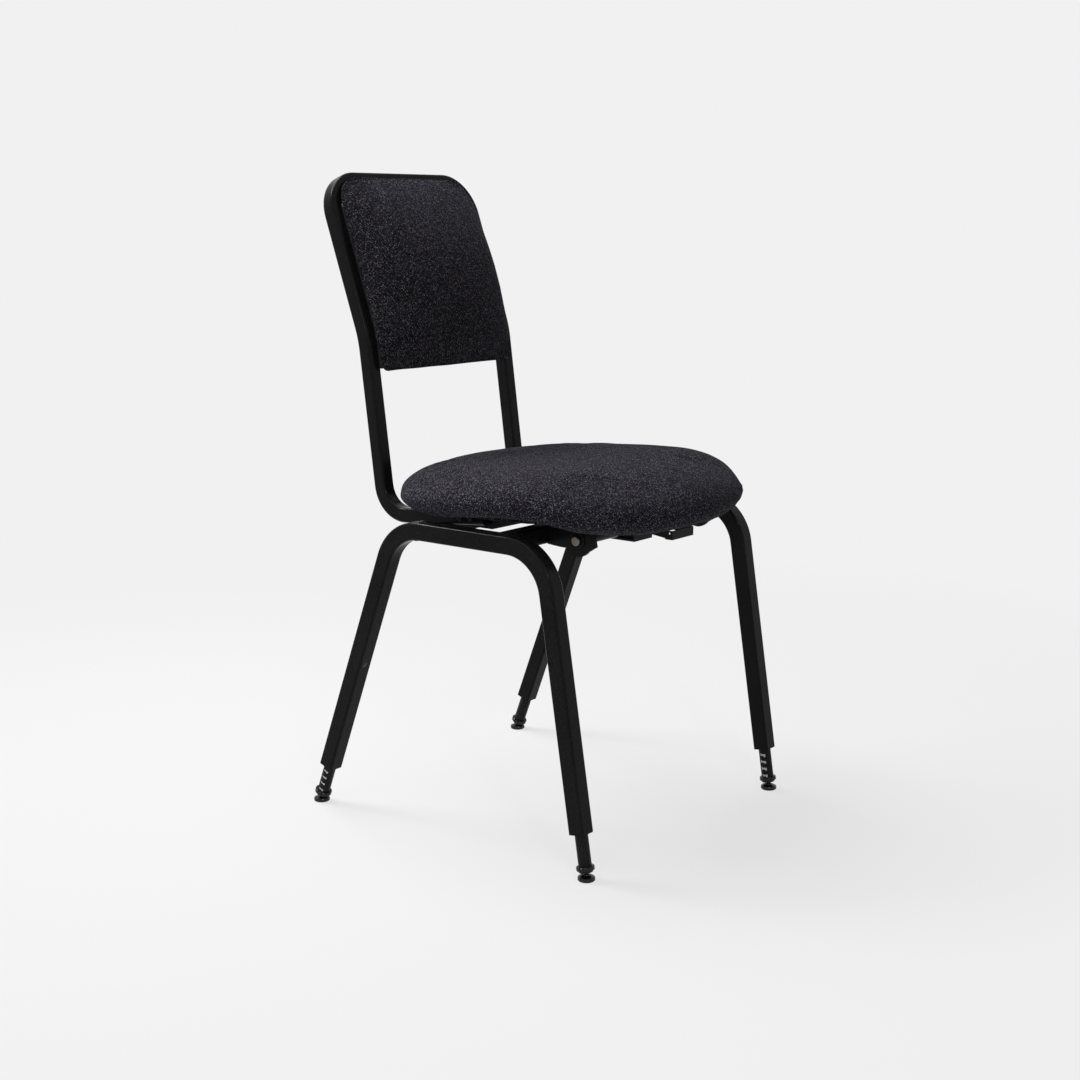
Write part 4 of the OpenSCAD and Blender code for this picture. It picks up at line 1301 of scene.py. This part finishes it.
class CHAIR_OT_stage(bpy.types.Operator):
    """Camera at the photograph's angle, soft lamps and a pale floor"""

    bl_idname = "chair.stage"
    bl_label = "Build the Studio"

    def execute(self, context):
        settings = context.scene.chair_stage
        place_camera(context.scene, settings)
        add_lamps(context.scene)
        add_floor(settings)
        add_sky(context.scene, settings)
        context.scene.view_settings.view_transform = "Standard"
        return {"FINISHED"}


def paint(nodes, material):
    """Gives the named CAD nodes a material of the scene's own."""
    for name in nodes:
        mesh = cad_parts[name].data
        mesh.materials.clear()
        mesh.materials.append(material)


def find_material(name, maker, *settings):
    return bpy.data.materials.get(name) or maker(*settings)


def place_camera(scene, settings):
    a, e = settings.azimuth, settings.elevation
    back = Vector((math.sin(a) * math.cos(e), -math.cos(a) * math.cos(e), math.sin(e)))
    right = Vector((math.cos(a), math.sin(a), 0))
    up = back.cross(right)
    data = bpy.data.cameras.new("camera")
    data.lens = settings.lens
    data.sensor_width = SENSOR_WIDTH
    data.clip_start, data.clip_end = 0.05, 60
    camera = bpy.data.objects.new("camera", data)
    turned = Matrix((right, up, back)).transposed().to_4x4()
    camera.matrix_world = Matrix.Translation(settings.camera_place) @ turned
    scene.collection.objects.link(camera)
    scene.camera = camera


LAMPS = (
    # name, place, size, power
    ("top_softbox", (-0.05, 1.0, 2.4), (1.3, 1.6), 50.0),
    ("overhead_strip", (-0.85, -0.2, 2.3), (0.12, 2.6), 8.0),
    ("left_softbox", (-2.4, 0.1, 1.2), (1.0, 1.6), 3.5),
    ("front_softbox", (-0.3, -2.8, 1.2), (1.2, 1.4), 2.0),
    ("right_softbox", (2.6, 0.2, 1.3), (0.8, 1.6), 1.0),
    ("camera_spot", (-1.5, -1.9, 1.75), (0.22, 0.22), 10.0),
    ("rear_spot", (-0.8, 1.7, 2.2), (0.9, 0.2), 32.0),
)


def add_lamps(scene):
    for name, place, size, power in LAMPS:
        data = bpy.data.lights.new(name, "AREA")
        data.shape = "RECTANGLE"
        data.size, data.size_y = size
        data.energy = power
        lamp = bpy.data.objects.new(name, data)
        lamp.location = place
        aim = FLOOR_CENTRE + AIM_HEIGHT - Vector(place)
        lamp.rotation_euler = aim.to_track_quat("-Z", "Y").to_euler()
        scene.collection.objects.link(lamp)


def seen_directly(finish):
    """1 for what the camera, a reflection or glass sees, 0 for light on the object."""
    rays = [
        finish.node("ShaderNodeLightPath", output=name)
        for name in ("Is Camera Ray", "Is Glossy Ray", "Is Transmission Ray")
    ]
    return rays[0].maximum(rays[1]).maximum(rays[2])


def add_floor(settings):
    finish = Finish("pale_floor")
    at = finish.node("ShaderNodeNewGeometry", output="Position")
    away = finish.node(
        "ShaderNodeVectorMath",
        {"operation": "DISTANCE"},
        {0: at, 1: tuple(FLOOR_CENTRE)},
        "Value",
    )
    grain = finish.noise(3.0, 3, 0.5, at=at)
    pale = finish.blend(grain, grey(0.8), grey(0.82))
    matt = finish.node("ShaderNodeBsdfDiffuse", None, {"Color": pale})
    glow = finish.node(
        "ShaderNodeEmission", None, {"Color": grey(1), "Strength": settings.backdrop}
    )
    far = finish.mask(away * 0.25, 0.12, 0.42)
    # near the chair part of the floor stays lit, so that its shadow shows
    share = seen_directly(finish) * (far * 0.22 + 0.78)
    both = finish.node("ShaderNodeMixShader", None, {0: share, 1: matt, 2: glow})
    finish.node("ShaderNodeOutputMaterial", None, {"Surface": both})
    ring = [
        FLOOR_CENTRE + FLOOR_REACH * Vector((math.cos(angle), math.sin(angle), 0))
        for angle in around(FLOOR_POINTS)
    ]
    face = tuple(range(FLOOR_POINTS))
    floor = mesh_object("floor", ring, [face], finish.owner, False)


def add_sky(scene, settings):
    finish = Finish("studio", "worlds")
    direct = seen_directly(finish)
    strength = direct * (settings.backdrop - settings.fill) + settings.fill
    sky = finish.node(
        "ShaderNodeBackground", None, {"Color": grey(1), "Strength": strength}
    )
    finish.node("ShaderNodeOutputWorld", None, {"Surface": sky})
    scene.world = finish.owner


# --------------------------------------------------------------------- panel


class CHAIR_PT_panel(bpy.types.Panel):
    """Lists the steps that build the chair"""

    bl_idname = "CHAIR_PT_panel"
    bl_label = "Choir Chair"
    bl_space_type = "VIEW_3D"
    bl_region_type = "UI"
    bl_category = "Choir Chair"

    def draw(self, context):
        for step in STEPS:
            self.layout.operator(step.bl_idname)
        for name in GROUPS:
            group = getattr(context.scene, name)
            box = self.layout.box()
            for key in group.__annotations__:
                box.prop(group, key)


STEPS = (
    CHAIR_OT_stage,
    CHAIR_OT_coat,
    CHAIR_OT_steel,
    CHAIR_OT_feet,
    CHAIR_OT_backing,
    CHAIR_OT_seat_pad,
    CHAIR_OT_seat_underside,
    CHAIR_OT_back_pad,
)
GROUPS = {
    "chair_seat": SeatPadSettings,
    "chair_back": BackPadSettings,
    "chair_finish": FinishSettings,
    "chair_stage": StageSettings,
}


def register():
    for group in (*GROUPS.values(), *STEPS, CHAIR_PT_panel):
        bpy.utils.register_class(group)
    for name, group in GROUPS.items():
        setattr(bpy.types.Scene, name, bpy.props.PointerProperty(type=group))


def unregister():
    for name in GROUPS:
        delattr(bpy.types.Scene, name)
    for group in reversed((*GROUPS.values(), *STEPS, CHAIR_PT_panel)):
        bpy.utils.unregister_class(group)


def main():
    register()
    bpy.ops.chair.stage()
    bpy.ops.chair.coat()
    bpy.ops.chair.steel()
    bpy.ops.chair.feet()
    bpy.ops.chair.backing()
    bpy.ops.chair.seat_pad()
    bpy.ops.chair.seat_underside()
    bpy.ops.chair.back_pad()


if __name__ == "__main__":
    main()
